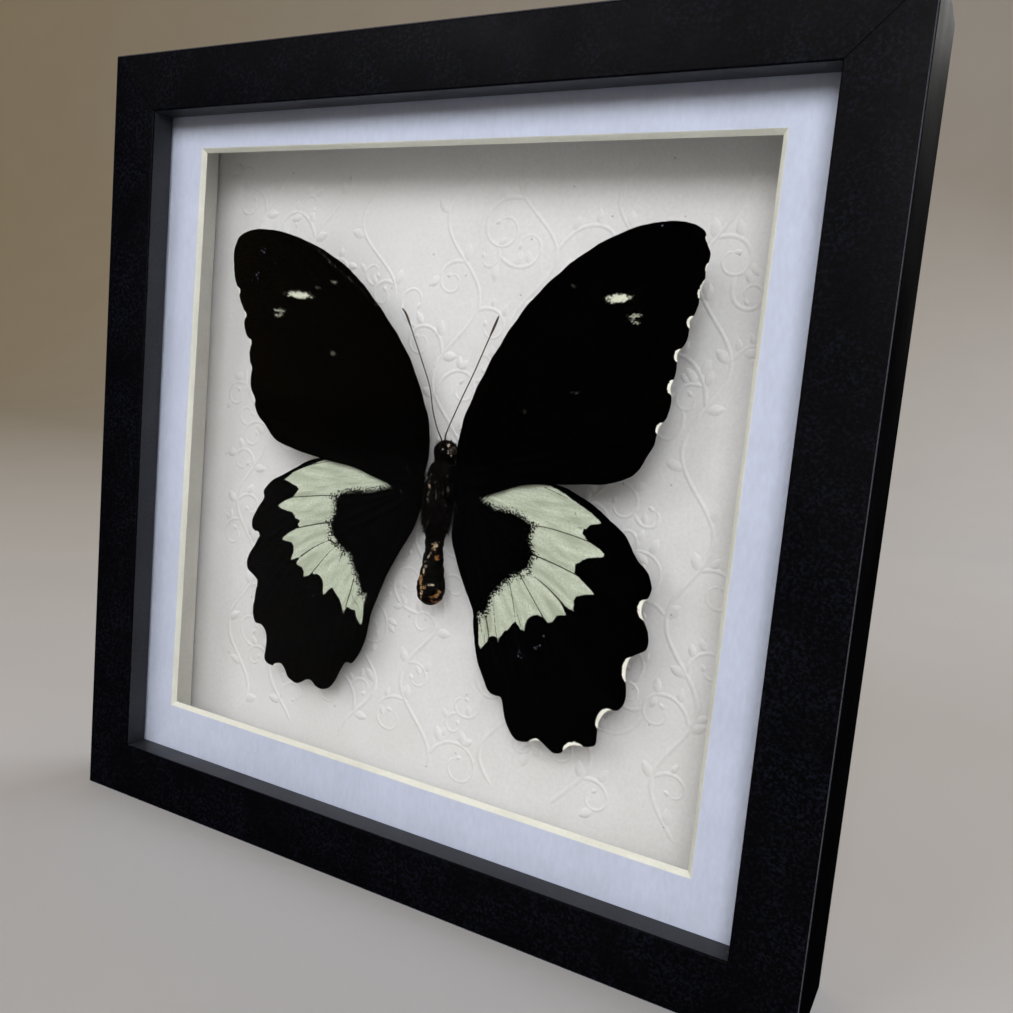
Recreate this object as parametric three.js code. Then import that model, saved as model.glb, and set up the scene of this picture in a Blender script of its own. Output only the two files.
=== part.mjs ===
// A black-rimmed shadow-box frame, 200 mm square, with one spread swallowtail butterfly
// mounted in it. Millimetres, +Z up. The glazed face looks along -Y. The origin is on the
// table, under the middle of the frame, halfway between its front and its back.
import * as THREE from 'three';

// Driving dimensions of the frame
const FRAME_SIZE = 200;
const FRAME_DEPTH = 28;
const FACE_WIDTH = 14.7;
const RAIL_BODY = 10.6;
const LIP_DEPTH = 6.3;
const MITRE_GAP = 0.05;
const STACK_GAP = 0.2;
const RABBET_CLEARANCE = 0.4;

// What lies in the rabbet, from the front to the back
const PANE_THICKNESS = 1.5;
const MAT_THICKNESS = 1.0;
const SPACER_DEPTH = 13.5;
const SPACER_WIDTH = 5.0;
const PAPER_BOARD_THICKNESS = 1.0;
const BACKING_THICKNESS = 2.0;

// The mat's window was cut a little off centre and slightly turned
const WINDOW_SIZE = 151;
const WINDOW_CENTRE = [-0.6, 101.4];
const WINDOW_TURN = THREE.MathUtils.degToRad(-0.47);

// Retaining points and hanger on the back
const TAB_WIDTH = 9;
const TAB_REACH = 11;
const TAB_THICKNESS = 0.5;
const TAB_SPREAD = 52;
const HANGER_SIZE = [38, 0.8, 9];
const HANGER_Z = 172;
const HANGER_TOOTH = 2.0;
const HANGER_TEETH = 9;
const HANGER_END = 6;
const RIVET_RADIUS = 1.7;
const RIVET_HEIGHT = 0.5;
const RIVET_SPREAD = 16;
const RIVET_SIDES = 20;

// The specimen. BODY_DEPTH and the wing root depths are measured back from the frame's face
const BODY_X = -0.7;
const BODY_Z = 100;
const BODY_DEPTH = 16.6;
const BODY_SHIFT = 0.7;
const BODY_SIDES = 24;
const HEAD_TURN = 1.1;
const BEND_REACH = 6;
const PAD_SIZE = [7, 2.0, 12];
const PAD_DROP = 3;
const FORE_ROOT = { side: 3.0, depth: 15.6, up: 3.0 };
const HIND_ROOT = { side: 3.0, depth: 16.4, up: -1.0 };
const FORE_RISE = THREE.MathUtils.degToRad(5.3);
const HIND_RISE = THREE.MathUtils.degToRad(4.3);
const HIND_DROOP = THREE.MathUtils.degToRad(1.7);
const WING_THICKNESS = 0.3;
const WING_CURVE_PARTS = 3;
const ANTENNA_RADIUS = 0.22;
const ANTENNA_DEPTH = 15.6;
const ANTENNA_STEPS = 18;
const ANTENNA_CURVE_PARTS = 4;

const half = FRAME_SIZE / 2;
const faceY = -FRAME_DEPTH / 2;
const rabbetHalf = half - RAIL_BODY - RABBET_CLEARANCE;
const paneFront = LIP_DEPTH + STACK_GAP;
const matFront = paneFront + PANE_THICKNESS + STACK_GAP;
const spacerFront = matFront + MAT_THICKNESS + STACK_GAP;
const paperFront = spacerFront + SPACER_DEPTH + STACK_GAP;
const backingFront = paperFront + PAPER_BOARD_THICKNESS + STACK_GAP;
const backingBack = backingFront + BACKING_THICKNESS;

const finish = (color, roughness, metalness = 0, extra = {}) =>
  new THREE.MeshStandardMaterial({ color, roughness, metalness, ...extra });

const blackLacquer = () => finish(0x141417, 0.45);
const clearGlass = () => finish(0xf4f8f8, 0.03, 0, { transparent: true, opacity: 0.2 });
const coolWhiteMat = () => finish(0xd9dbe4, 0.9);
const creamCard = () => finish(0xe3dfd2, 0.92);
const ivoryPaper = () => finish(0xdedad4, 0.95);
const brownBoard = () => finish(0x8a6b4a, 0.85);
const zincSteel = () => finish(0xa9abad, 0.4, 1);
const corkFoam = () => finish(0xb9a583, 0.95);
const velvetBlack = () => finish(0x0b0a0a, 0.95);
const hornBrown = () => finish(0x2a1a12, 0.5);

function named(name, geometry, material) {
  const mesh = new THREE.Mesh(geometry, material);
  mesh.name = name;
  return mesh;
}

// A box given by its size and by how far its front lies behind the frame's face
function slab(name, size, frontDepth, material, x = 0, z = half) {
  const mesh = named(name, new THREE.BoxGeometry(...size), material);
  mesh.position.set(x, faceY + frontDepth + size[1] / 2, z);
  return mesh;
}

// One rail: an L section, drawn as depth against height, stretched between two mitres
function railGeometry() {
  const section = new THREE.Shape([
    new THREE.Vector2(faceY, 0),
    new THREE.Vector2(faceY + FRAME_DEPTH, 0),
    new THREE.Vector2(faceY + FRAME_DEPTH, RAIL_BODY),
    new THREE.Vector2(faceY + LIP_DEPTH, RAIL_BODY),
    new THREE.Vector2(faceY + LIP_DEPTH, FACE_WIDTH),
    new THREE.Vector2(faceY, FACE_WIDTH),
  ]);
  const geometry = new THREE.ExtrudeGeometry(section, { depth: 1, bevelEnabled: false });
  const place = geometry.attributes.position;
  for (let i = 0; i < place.count; i += 1) {
    const depth = place.getX(i);
    const height = place.getY(i);
    const end = place.getZ(i) > 0.5 ? 1 : -1;
    place.setXYZ(i, end * (half - MITRE_GAP - height), depth, height - half);
  }
  geometry.computeVertexNormals();
  return geometry;
}

function frameRails() {
  const rails = new THREE.Group();
  ['rail_bottom', 'rail_left', 'rail_top', 'rail_right'].forEach((name, quarter) => {
    const rail = named(name, railGeometry(), blackLacquer());
    rail.rotation.y = (quarter * Math.PI) / 2;
    rails.add(rail);
  });
  rails.position.z = half;
  return rails;
}

// The mat: a square card whose window is wider at the front, so its cut edge slopes in
function matBoard() {
  const outer = new THREE.Shape([
    new THREE.Vector2(-rabbetHalf, half - rabbetHalf),
    new THREE.Vector2(rabbetHalf, half - rabbetHalf),
    new THREE.Vector2(rabbetHalf, half + rabbetHalf),
    new THREE.Vector2(-rabbetHalf, half + rabbetHalf),
  ]);
  const centre = new THREE.Vector2(...WINDOW_CENTRE);
  const corner = (sx, sz) => new THREE.Vector2(sx, sz)
    .multiplyScalar(WINDOW_SIZE / 2)
    .rotateAround(new THREE.Vector2(), WINDOW_TURN)
    .add(centre);
  outer.holes.push(new THREE.Path([corner(-1, -1), corner(-1, 1), corner(1, 1), corner(1, -1)]));
  const geometry = new THREE.ExtrudeGeometry(outer, { depth: MAT_THICKNESS, bevelEnabled: false });
  const place = geometry.attributes.position;
  const backShrink = 1 - (2 * MAT_THICKNESS) / WINDOW_SIZE;
  for (let i = 0; i < place.count; i += 1) {
    const point = new THREE.Vector2(place.getX(i), place.getY(i));
    const atBack = place.getZ(i) > MAT_THICKNESS / 2;
    const atWindow = Math.abs(point.x) < (rabbetHalf + WINDOW_SIZE / 2) / 2;
    if (atBack && atWindow) point.sub(centre).multiplyScalar(backShrink).add(centre);
    place.setXYZ(i, point.x, faceY + matFront + place.getZ(i), point.y);
  }
  return named('mat_board', turnInsideOut(geometry), coolWhiteMat());
}

// Swaps two corners of every triangle, for a shape that was mirrored as it was laid out
function turnInsideOut(geometry) {
  const place = geometry.attributes.position;
  for (let i = 0; i < place.count; i += 3) {
    const b = new THREE.Vector3().fromBufferAttribute(place, i + 1);
    const c = new THREE.Vector3().fromBufferAttribute(place, i + 2);
    place.setXYZ(i + 1, c.x, c.y, c.z);
    place.setXYZ(i + 2, b.x, b.y, b.z);
  }
  geometry.computeVertexNormals();
  return geometry;
}

// Four strips of card that hold the mat off the paper; the upright ones fit between the others
function spacers() {
  const strips = new THREE.Group();
  const long = 2 * rabbetHalf;
  const short = long - 2 * SPACER_WIDTH - 2 * STACK_GAP;
  const offset = rabbetHalf - SPACER_WIDTH / 2;
  const flat = [long, SPACER_DEPTH, SPACER_WIDTH];
  const upright = [SPACER_WIDTH, SPACER_DEPTH, short];
  strips.add(slab('spacer_top', flat, spacerFront, creamCard(), 0, half + offset));
  strips.add(slab('spacer_bottom', flat, spacerFront, creamCard(), 0, half - offset));
  strips.add(slab('spacer_left', upright, spacerFront, creamCard(), -offset));
  strips.add(slab('spacer_right', upright, spacerFront, creamCard(), offset));
  return strips;
}

// Flat steel points pressed over the backing, two along each rail
function retainingTabs() {
  const tabs = new THREE.Group();
  const reachMiddle = half - RAIL_BODY - STACK_GAP - TAB_REACH / 2;
  const tabY = faceY + backingBack + STACK_GAP + TAB_THICKNESS / 2;
  ['bottom', 'left', 'top', 'right'].forEach((rail, quarter) => {
    [-1, 1].forEach((end, k) => {
      const shape = new THREE.BoxGeometry(TAB_WIDTH, TAB_THICKNESS, TAB_REACH);
      const tab = named(`retaining_tab_${rail}_${k + 1}`, shape, zincSteel());
      const turned = new THREE.Group();
      turned.rotation.y = (quarter * Math.PI) / 2;
      tab.position.set(end * TAB_SPREAD, tabY, -reachMiddle);
      turned.add(tab);
      tabs.add(turned);
    });
  });
  tabs.position.z = half;
  return tabs;
}

// A toothed strip, held to the backing by two rivets that stand on its face
function hanger() {
  const [width, thickness, height] = HANGER_SIZE;
  const y = faceY + backingBack + STACK_GAP;
  const outline = new THREE.Shape();
  outline.moveTo(-width / 2, height / 2);
  outline.lineTo(-width / 2, -height / 2);
  const toothWidth = (width - 2 * HANGER_END) / HANGER_TEETH;
  for (let i = 0; i < HANGER_TEETH; i += 1) {
    const x = -width / 2 + HANGER_END + i * toothWidth;
    outline.lineTo(x, -height / 2);
    outline.lineTo(x + toothWidth / 2, -height / 2 + HANGER_TOOTH);
  }
  outline.lineTo(width / 2 - HANGER_END, -height / 2);
  outline.lineTo(width / 2, -height / 2);
  outline.lineTo(width / 2, height / 2);
  const plate = new THREE.ExtrudeGeometry(outline, { depth: thickness, bevelEnabled: false });
  plate.rotateX(Math.PI / 2);
  plate.translate(0, thickness, 0);
  const group = new THREE.Group();
  group.add(named('sawtooth_hanger', plate, zincSteel()));
  [['hanger_rivet_left', -1], ['hanger_rivet_right', 1]].forEach(([name, side]) => {
    const shape = new THREE.CylinderGeometry(RIVET_RADIUS, RIVET_RADIUS, RIVET_HEIGHT, RIVET_SIDES);
    const rivet = named(name, shape, zincSteel());
    rivet.position.set(side * RIVET_SPREAD, thickness + STACK_GAP / 2 + RIVET_HEIGHT / 2, 0);
    group.add(rivet);
  });
  group.position.set(0, y, HANGER_Z);
  return group;
}

// Head, thorax and abdomen in one turned form, as radius against height from the body's
// middle. The front half of it bends a little to one side, up to the head
function butterflyBody() {
  const profile = [
    [0, -31.7], [1.6, -31.2], [3.0, -29.9], [3.6, -27.6], [3.2, -24.5], [2.6, -20.5],
    [2.3, -16.5], [2.7, -13.5], [3.5, -10.5], [3.9, -6], [3.8, -1], [3.3, 2.5],
    [2.5, 4.0], [2.7, 5.0], [2.9, 6.5], [2.3, 8.2], [1.1, 9.1], [0, 9.3],
  ].map(([radius, height]) => new THREE.Vector2(radius, height));
  const geometry = new THREE.LatheGeometry(profile, BODY_SIDES);
  geometry.rotateX(Math.PI / 2);
  const place = geometry.attributes.position;
  for (let i = 0; i < place.count; i += 1) {
    const bend = HEAD_TURN * THREE.MathUtils.smoothstep(place.getZ(i), -BEND_REACH, BEND_REACH);
    place.setX(i, place.getX(i) + bend);
  }
  const body = named('butterfly_body', geometry, velvetBlack());
  body.position.set(BODY_X + BODY_SHIFT, faceY + BODY_DEPTH, BODY_Z);
  return body;
}

// Wing margins, in millimetres out and up from the wing's root, once round from the
// front of the root: front edge, outer margin with its notches, hind edge, root
const FORE_RIGHT = [
  [2.6, 4.5], [3.8, 11], [7.5, 20.5], [12.6, 30], [20, 40.1], [30.1, 48.9], [40, 54.3],
  [48.7, 56.5], [54.6, 56.4], [57.6, 55.5], [59.2, 54.2], [59.6, 52.4], [60.6, 50],
  [60.1, 47.4], [60.1, 45.1], [59.2, 42.6], [59.3, 41.2], [58.8, 38.2], [57.9, 36.7],
  [58, 34.9], [57.4, 32.1], [56, 30], [56.2, 27.7], [55.8, 25.1], [55.3, 23.2], [55.9, 20.4],
  [55.1, 16.8], [53.8, 14.8], [53.5, 12.9], [52.9, 10.5], [51.7, 8.4], [51.1, 6.8],
  [49.6, 4.6], [47, 2.9], [43.1, 1.4], [38.1, 0.7], [33, 0], [22, -1.6], [14, -4.6],
  [7, -6.8], [3, -7], [2.6, -1],
];
const FORE_LEFT = [
  [-0.6, 3], [0.1, 10], [2.1, 15.7], [6.9, 25.5], [14.8, 35.5], [24.8, 45.1], [35.1, 50.7],
  [44.9, 53.8], [50, 54.5], [54.2, 54.5], [57.1, 53.7], [59.1, 52.5], [60.1, 50.9],
  [60.8, 48.6], [60.3, 45.1], [59.7, 41.1], [58.4, 38.9], [57.7, 36.4], [56.6, 33.9],
  [55.9, 32.6], [56, 30.7], [55.1, 27.4], [53.9, 25.9], [53.7, 22.9], [53.4, 20.7],
  [52.8, 19.2], [53.1, 17.1], [52.4, 13.4], [51.4, 11.5], [51.1, 9.3], [49.8, 7],
  [47.8, 5.1], [45.6, 2.7], [43.1, 0.9], [38.1, -0.5], [30.6, -1.9], [20, -3.2],
  [11, -5.8], [5, -7.4], [1, -7.4], [0, -2],
];
const HIND_RIGHT = [
  [3.2, 1.8], [14, 3.2], [24, 3.8], [31.8, 3.4], [36, 1.9], [40.2, 0], [44.1, -2.5],
  [47.9, -5.2], [51.5, -10.2], [53.5, -11.7], [54.8, -13.7], [55.3, -15.8], [54.6, -17.8],
  [53.6, -19], [53.5, -21.3], [54.4, -23.2], [55.3, -25], [55.6, -27], [55.2, -29.2],
  [53.6, -30.4], [52.2, -31.4], [51.2, -33.5], [51.1, -36], [51.4, -37.6], [51.7, -40],
  [51.2, -42.7], [50, -44.2], [48.6, -44.4], [47.2, -45.3], [46.1, -47], [45.5, -49],
  [45.6, -51], [45.4, -53.5], [44, -54.4], [42.4, -54.8], [41, -54.9], [39.2, -55.4],
  [38, -56.6], [36.9, -57.9], [35.1, -58.5], [33.3, -57.8], [31.8, -56.8], [29.8, -56.8],
  [28.3, -57.6], [26.4, -58.1], [24.6, -58], [22.9, -56.3], [21.4, -53.5], [20.3, -50],
  [19.6, -48.8], [17.9, -48.8], [16.2, -48.1], [14.5, -45.5], [12.5, -41.9], [11.4, -36.9],
  [10.6, -33.1], [10.1, -29.2], [7.5, -24.6], [5.2, -20.4], [3.5, -16.2], [2.5, -12.4],
  [2.6, -6],
];
const HIND_LEFT = [
  [0.6, 1], [10, 2.6], [20, 3], [29.5, 2.3], [34.5, 0.8], [38.3, -1.4], [42.2, -3.7],
  [45.6, -5.6], [47.2, -7.3], [48.2, -8.9], [47.8, -10.3], [49.1, -12.3], [50.6, -14.6],
  [51.8, -17.3], [51.4, -19.2], [50.2, -19.9], [49.3, -20.4], [49.5, -21.7], [50.6, -23.8],
  [52.2, -26.2], [52.9, -28.5], [52.5, -30.4], [51, -31.7], [49.9, -32.7], [49.5, -35.2],
  [49.8, -38.5], [50.4, -41.2], [50.2, -43.5], [49.1, -45], [47.3, -45.2], [46.2, -46.3],
  [45.6, -48.3], [45.5, -51.5], [45.8, -54.2], [45.2, -55.6], [42.9, -55.9], [41.6, -55.2],
  [39.9, -55.2], [38.6, -56.6], [37.9, -58.1], [35.4, -59.3], [33.3, -58.4], [32.2, -57.6],
  [31, -57.4], [29.8, -57.8], [29.1, -58.6], [26.8, -59.1], [24.8, -58.3], [22.9, -55.8],
  [21.4, -52.7], [20.5, -51], [19.8, -50.2], [18.3, -50.2], [16.8, -48.5], [15.2, -45],
  [13.8, -40], [13.2, -36.2], [11.8, -31.9], [10.2, -27.7], [8.3, -23.1], [6, -18.5],
  [4.1, -15.4], [2.6, -12.5], [1.2, -8],
];

// A thin plate inside a smooth closed curve through the margin's points
function wingPlate(margin, side) {
  const points = margin.map(([out, up]) => new THREE.Vector3(side * out, up, 0));
  const curve = new THREE.CatmullRomCurve3(points, true, 'centripetal');
  const rounded = curve.getPoints(points.length * WING_CURVE_PARTS).slice(0, -1);
  const outline = new THREE.Shape(rounded.map((p) => new THREE.Vector2(p.x, p.y)));
  const plate = new THREE.ExtrudeGeometry(outline, { depth: WING_THICKNESS, bevelEnabled: false });
  plate.rotateX(Math.PI / 2);
  plate.translate(0, WING_THICKNESS / 2, 0);
  return plate;
}

function wing(name, margin, side, root, rise, droop) {
  const mesh = named(name, wingPlate(margin, side), velvetBlack());
  mesh.position.set(BODY_X + side * root.side, faceY + root.depth, BODY_Z + root.up);
  mesh.rotation.set(droop, 0, -side * rise, 'ZXY');
  return mesh;
}

// Antennae: across and up from the body's middle, from the head out to the clubbed tip
const ANTENNA_LEFT = [
  [-0.3, 9.9], [-1.5, 12.2], [-3, 16.2], [-4.3, 21.4], [-7, 27.2], [-10, 33.2], [-12.6, 38.2],
  [-14.1, 39.9],
];
const ANTENNA_RIGHT = [
  [1.2, 10.8], [2.9, 15], [5.2, 20.5], [7.7, 26.2], [10, 32], [11.6, 36], [12.9, 39.3],
];

function antenna(name, route) {
  const y = faceY + ANTENNA_DEPTH;
  const points = route.map(([across, up]) => new THREE.Vector3(across, y, BODY_Z + up));
  const path = new THREE.CatmullRomCurve3(points, false, 'centripetal');
  const section = new THREE.Shape();
  section.absarc(0, 0, ANTENNA_RADIUS, 0, Math.PI * 2);
  const geometry = new THREE.ExtrudeGeometry(section, {
    curveSegments: ANTENNA_CURVE_PARTS,
    steps: ANTENNA_STEPS,
    extrudePath: path,
    bevelEnabled: false,
  });
  return named(name, geometry, hornBrown());
}

function specimen() {
  const insect = new THREE.Group();
  insect.add(butterflyBody());
  insect.add(wing('forewing_left', FORE_LEFT, -1, FORE_ROOT, FORE_RISE, 0));
  insect.add(wing('forewing_right', FORE_RIGHT, 1, FORE_ROOT, FORE_RISE, 0));
  insect.add(wing('hindwing_left', HIND_LEFT, -1, HIND_ROOT, HIND_RISE, HIND_DROOP));
  insect.add(wing('hindwing_right', HIND_RIGHT, 1, HIND_ROOT, HIND_RISE, HIND_DROOP));
  insect.add(antenna('antenna_left', ANTENNA_LEFT));
  insect.add(antenna('antenna_right', ANTENNA_RIGHT));
  const padFront = paperFront - STACK_GAP - PAD_SIZE[1];
  const padX = BODY_X + BODY_SHIFT;
  insect.add(slab('specimen_pad', PAD_SIZE, padFront, corkFoam(), padX, BODY_Z - PAD_DROP));
  return insect;
}

const group = new THREE.Group();
const rabbetSquare = (thickness) => [2 * rabbetHalf, thickness, 2 * rabbetHalf];
group.add(frameRails());
group.add(slab('glass_pane', rabbetSquare(PANE_THICKNESS), paneFront, clearGlass()));
group.add(matBoard());
group.add(spacers());
group.add(slab('background_board', rabbetSquare(PAPER_BOARD_THICKNESS), paperFront, ivoryPaper()));
group.add(slab('backing_panel', rabbetSquare(BACKING_THICKNESS), backingFront, brownBoard()));
group.add(retainingTabs());
group.add(hanger());
group.add(specimen());

export default group;
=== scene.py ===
import math
import random

import bpy
import numpy as np
from mathutils import Matrix, Vector, geometry


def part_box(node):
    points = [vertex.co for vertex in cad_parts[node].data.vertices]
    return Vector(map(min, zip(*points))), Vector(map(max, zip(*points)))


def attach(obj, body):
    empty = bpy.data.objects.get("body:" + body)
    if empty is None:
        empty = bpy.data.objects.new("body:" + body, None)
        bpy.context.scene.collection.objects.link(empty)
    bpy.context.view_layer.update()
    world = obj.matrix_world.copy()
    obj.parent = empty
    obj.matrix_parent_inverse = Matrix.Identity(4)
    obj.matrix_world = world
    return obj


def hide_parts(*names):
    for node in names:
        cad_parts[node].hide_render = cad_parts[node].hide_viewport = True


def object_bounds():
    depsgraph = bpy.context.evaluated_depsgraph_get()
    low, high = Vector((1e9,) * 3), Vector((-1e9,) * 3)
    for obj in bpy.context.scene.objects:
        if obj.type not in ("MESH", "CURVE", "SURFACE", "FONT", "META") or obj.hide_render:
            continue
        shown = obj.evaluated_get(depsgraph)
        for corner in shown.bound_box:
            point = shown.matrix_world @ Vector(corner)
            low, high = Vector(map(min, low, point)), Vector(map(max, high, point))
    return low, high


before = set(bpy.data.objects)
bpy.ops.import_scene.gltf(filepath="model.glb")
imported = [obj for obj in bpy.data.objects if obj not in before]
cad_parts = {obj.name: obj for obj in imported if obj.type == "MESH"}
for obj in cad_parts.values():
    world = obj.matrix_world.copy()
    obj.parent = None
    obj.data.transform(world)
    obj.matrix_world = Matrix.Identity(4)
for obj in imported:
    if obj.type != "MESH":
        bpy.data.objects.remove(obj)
cadBox = [list(corner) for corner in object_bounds()]
print("frame loaded:", len(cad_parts), "pieces")

# Points below are in millimetres: across from the middle of the frame, back from its
# front face, and up from its middle. toRow turns them into the row's metres.
mm = 0.001
caseLow, caseHigh = Vector(cadBox[0]), Vector(cadBox[1])
caseHalf = (caseHigh.x - caseLow.x) / 2 / mm
faceY = caseLow.y
middleZ = (caseLow.z + caseHigh.z) / 2


def toRow(points):
    p = np.asarray(points, float).reshape(-1, 3) * mm
    return p + np.array([0.0, faceY, middleZ])


def fromRow(points):
    p = np.asarray(points, float).reshape(-1, 3) - np.array([0.0, faceY, middleZ])
    return p / mm


def nodePoints(name):
    return fromRow([v.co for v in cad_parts[name].data.vertices])


def nodeSpan(name):
    low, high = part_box(name)
    return fromRow([low])[0], fromRow([high])[0]


def levels(values):
    return sorted({round(float(v), 2) for v in values})


def makePiece(name, points, faces, materials, replaces, sharp=None):
    mesh = bpy.data.meshes.new(name)
    mesh.from_pydata(toRow(points).tolist(), [], [list(map(int, f)) for f in faces])
    for material in materials:
        mesh.materials.append(material)
    mesh.shade_smooth()
    if sharp is not None:
        mesh.set_sharp_from_angle(angle=math.radians(sharp))
    piece = bpy.data.objects.new(name, mesh)
    bpy.context.scene.collection.objects.link(piece)
    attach(piece, "root")
    if replaces:
        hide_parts(*replaces)
    return piece


def refinish(node, material):
    # a piece that keeps its own mesh only gets its material
    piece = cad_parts[node]
    piece.data.materials.clear()
    piece.data.materials.append(material)
    return piece


def addField(piece, name, values):
    # a number or a vector at each point, for the material to read
    values = np.asarray(values, np.float32)
    kind, key = ("FLOAT", "value") if values.ndim == 1 else ("FLOAT_VECTOR", "vector")
    field = piece.data.attributes.new(name, kind, "POINT")
    field.data.foreach_set(key, values.ravel())


def loft(rings, closeRings=True, closeEnds=False, caps=False):
    # quads between rings of the same length, laid one after another
    count = len(rings[0])
    faces = []
    spans = len(rings) if closeEnds else len(rings) - 1
    steps = count if closeRings else count - 1
    for r in range(spans):
        a = r * count
        b = ((r + 1) % len(rings)) * count
        for i in range(steps):
            j = (i + 1) % count
            faces.append((a + i, b + i, b + j, a + j))
    if caps:
        faces.append(tuple(range(count)))
        faces.append(tuple(range((len(rings) - 1) * count, len(rings) * count))[::-1])
    return np.concatenate([np.asarray(r, float) for r in rings]), faces


def roundCorners(corners, radii, steps=4):
    # each corner of a closed outline becomes a small curve
    outline = []
    count = len(corners)
    for i, corner in enumerate(corners):
        here = Vector(corner)
        before = (Vector(corners[i - 1]) - here).normalized() * radii[i]
        after = (Vector(corners[(i + 1) % count]) - here).normalized() * radii[i]
        for k in range(steps + 1):
            t = k / steps
            outline.append(here + before * (1 - t) ** 2 + after * t ** 2)
    return outline


def barSection(low, high, side, ease, steps=4):
    # the eased section of a straight bar, sideways and back
    left, right, front, back = float(low[side]), float(high[side]), float(low[1]), float(high[1])
    corners = [(left, front), (right, front), (right, back), (left, back)]
    return roundCorners(corners, [ease] * 4, steps)


def bendThrough(a, b, c, d, t):
    # a point between b and c, on a smooth curve that comes from a and goes on to d
    return 0.5 * (2 * b + (c - a) * t + (2 * a - 5 * b + 4 * c - d) * t ** 2
                  + (3 * b - a - 3 * c + d) * t ** 3)


def smoothstep(low, high, value):
    t = np.clip((np.asarray(value, float) - low) / (high - low), 0, 1)
    return t * t * (3 - 2 * t)


def wander(seed, count, step):
    # a slow random line, used for cut edges and card that isn't quite flat
    pick = random.Random(seed)
    knots = [pick.uniform(-1, 1) for _ in range(count // step + 3)]
    line = []
    for i in range(count):
        t = i / step
        k = int(t)
        f = smoothstep(0, 1, t - k)
        line.append(float(knots[k] * (1 - f) + knots[k + 1] * f))
    return line


# Materials. Each starts from one Principled shader; the helpers below add its detail.
def newMaterial(name, colour, roughness, **sockets):
    material = bpy.data.materials.new(name)
    material.use_nodes = True
    shader = material.node_tree.nodes["Principled BSDF"]
    shader.inputs["Base Color"].default_value = (*colour, 1)
    shader.inputs["Roughness"].default_value = roughness
    for socket, value in sockets.items():
        shader.inputs[socket.replace("_", " ")].default_value = value
    return material, material.node_tree, shader


def addNode(tree, kind, **settings):
    node = tree.nodes.new("ShaderNode" + kind)
    for key, value in settings.items():
        if key in node.inputs:
            node.inputs[key].default_value = value
        else:
            setattr(node, key, value)
    return node


def place(tree, scale=(1, 1, 1), turn=(0, 0, 0)):
    # object coordinates in millimetres, stretched or turned for grain
    coords = addNode(tree, "TexCoord")
    mapping = addNode(tree, "Mapping")
    mapping.inputs["Scale"].default_value = [s / mm for s in scale]
    mapping.inputs["Rotation"].default_value = turn
    tree.links.new(coords.outputs["Object"], mapping.inputs["Vector"])
    return mapping.outputs["Vector"]


def noiseValue(tree, vector, scale, detail=3.0, roughness=0.5):
    node = addNode(tree, "TexNoise", Scale=scale, Detail=detail, Roughness=roughness)
    tree.links.new(vector, node.inputs["Vector"])
    return node.outputs["Fac"]


def cellNoise(tree, vector, scale):
    node = addNode(tree, "TexVoronoi", Scale=scale)
    tree.links.new(vector, node.inputs["Vector"])
    return node


def remap(tree, value, fromLow, fromHigh, toLow, toHigh, smooth=False):
    node = addNode(tree, "MapRange")
    node.interpolation_type = "SMOOTHSTEP" if smooth else "LINEAR"
    node.inputs["From Min"].default_value = fromLow
    node.inputs["From Max"].default_value = fromHigh
    node.inputs["To Min"].default_value = toLow
    node.inputs["To Max"].default_value = toHigh
    tree.links.new(value, node.inputs["Value"])
    return node.outputs["Result"]


def calc(tree, operation, a, b=0.0, clamp=False):
    node = addNode(tree, "Math", operation=operation, use_clamp=clamp)
    for socket, value in zip(node.inputs, (a, b)):
        if isinstance(value, (int, float)):
            socket.default_value = value
        else:
            tree.links.new(value, socket)
    return node.outputs["Value"]


def blendColour(tree, factor, a, b, blendType="MIX"):
    node = addNode(tree, "Mix", data_type="RGBA", blend_type=blendType)
    if isinstance(factor, (int, float)):
        node.inputs[0].default_value = factor
    else:
        tree.links.new(factor, node.inputs[0])
    for socket, value in ((node.inputs[6], a), (node.inputs[7], b)):
        if isinstance(value, tuple):
            socket.default_value = (*value, 1)
        else:
            tree.links.new(value, socket)
    return node.outputs[2]


def tint(tree, value, low, high, most, under, over):
    # lays one colour over another where the value goes from low to high
    return blendColour(tree, remap(tree, value, low, high, 0, most), under, over)


def swing(tree, value, middle, reach):
    # turns a noise into a shift to either side of nothing
    return calc(tree, "MULTIPLY", calc(tree, "SUBTRACT", value, middle), reach)


def feed(tree, shader, **sockets):
    for socket, value in sockets.items():
        tree.links.new(value, shader.inputs[socket.replace("_", " ")])


def addBump(tree, shader, height, strength, distanceMm, under=None):
    node = addNode(tree, "Bump", Strength=strength, Distance=distanceMm * mm)
    tree.links.new(height, node.inputs["Height"])
    if under is not None:
        tree.links.new(under, node.inputs["Normal"])
    if shader is not None:
        feed(tree, shader, Normal=node.outputs["Normal"])
    return node.outputs["Normal"]


def attribute(tree, name, output="Fac"):
    return addNode(tree, "Attribute", attribute_name=name).outputs[output]


# Black lacquer of the rails; the patches and specks are where it is rubbed
lacquer = {
    "colour": (0.0018, 0.0019, 0.0030),
    "worn": (0.0075, 0.0090, 0.0180),
    # painted sheen: edge and edgeWorn make the lip's inner wall a lighter slate than the face, standing in
    # for the light that wall catches
    "edge": (0.030, 0.034, 0.045),
    "edgeWorn": (0.045, 0.050, 0.062),
    # painted highlight: arris is the pale strip along the front's eased outer edge, standing in for the light
    # that edge catches
    "arris": (0.075, 0.082, 0.110),
    "arrisWorn": (0.030, 0.033, 0.045),
    "gloss": 0.07,
    "edgeGloss": 0.3,
    "roughness": (0.36, 0.52),
    "cloudPerMm": 0.05,
    "patchPerMm": 0.09,
    "speckPerMm": 1.3,
    "grainSize": 0.42,
    "grainDepth": 0.03,
}


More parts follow.
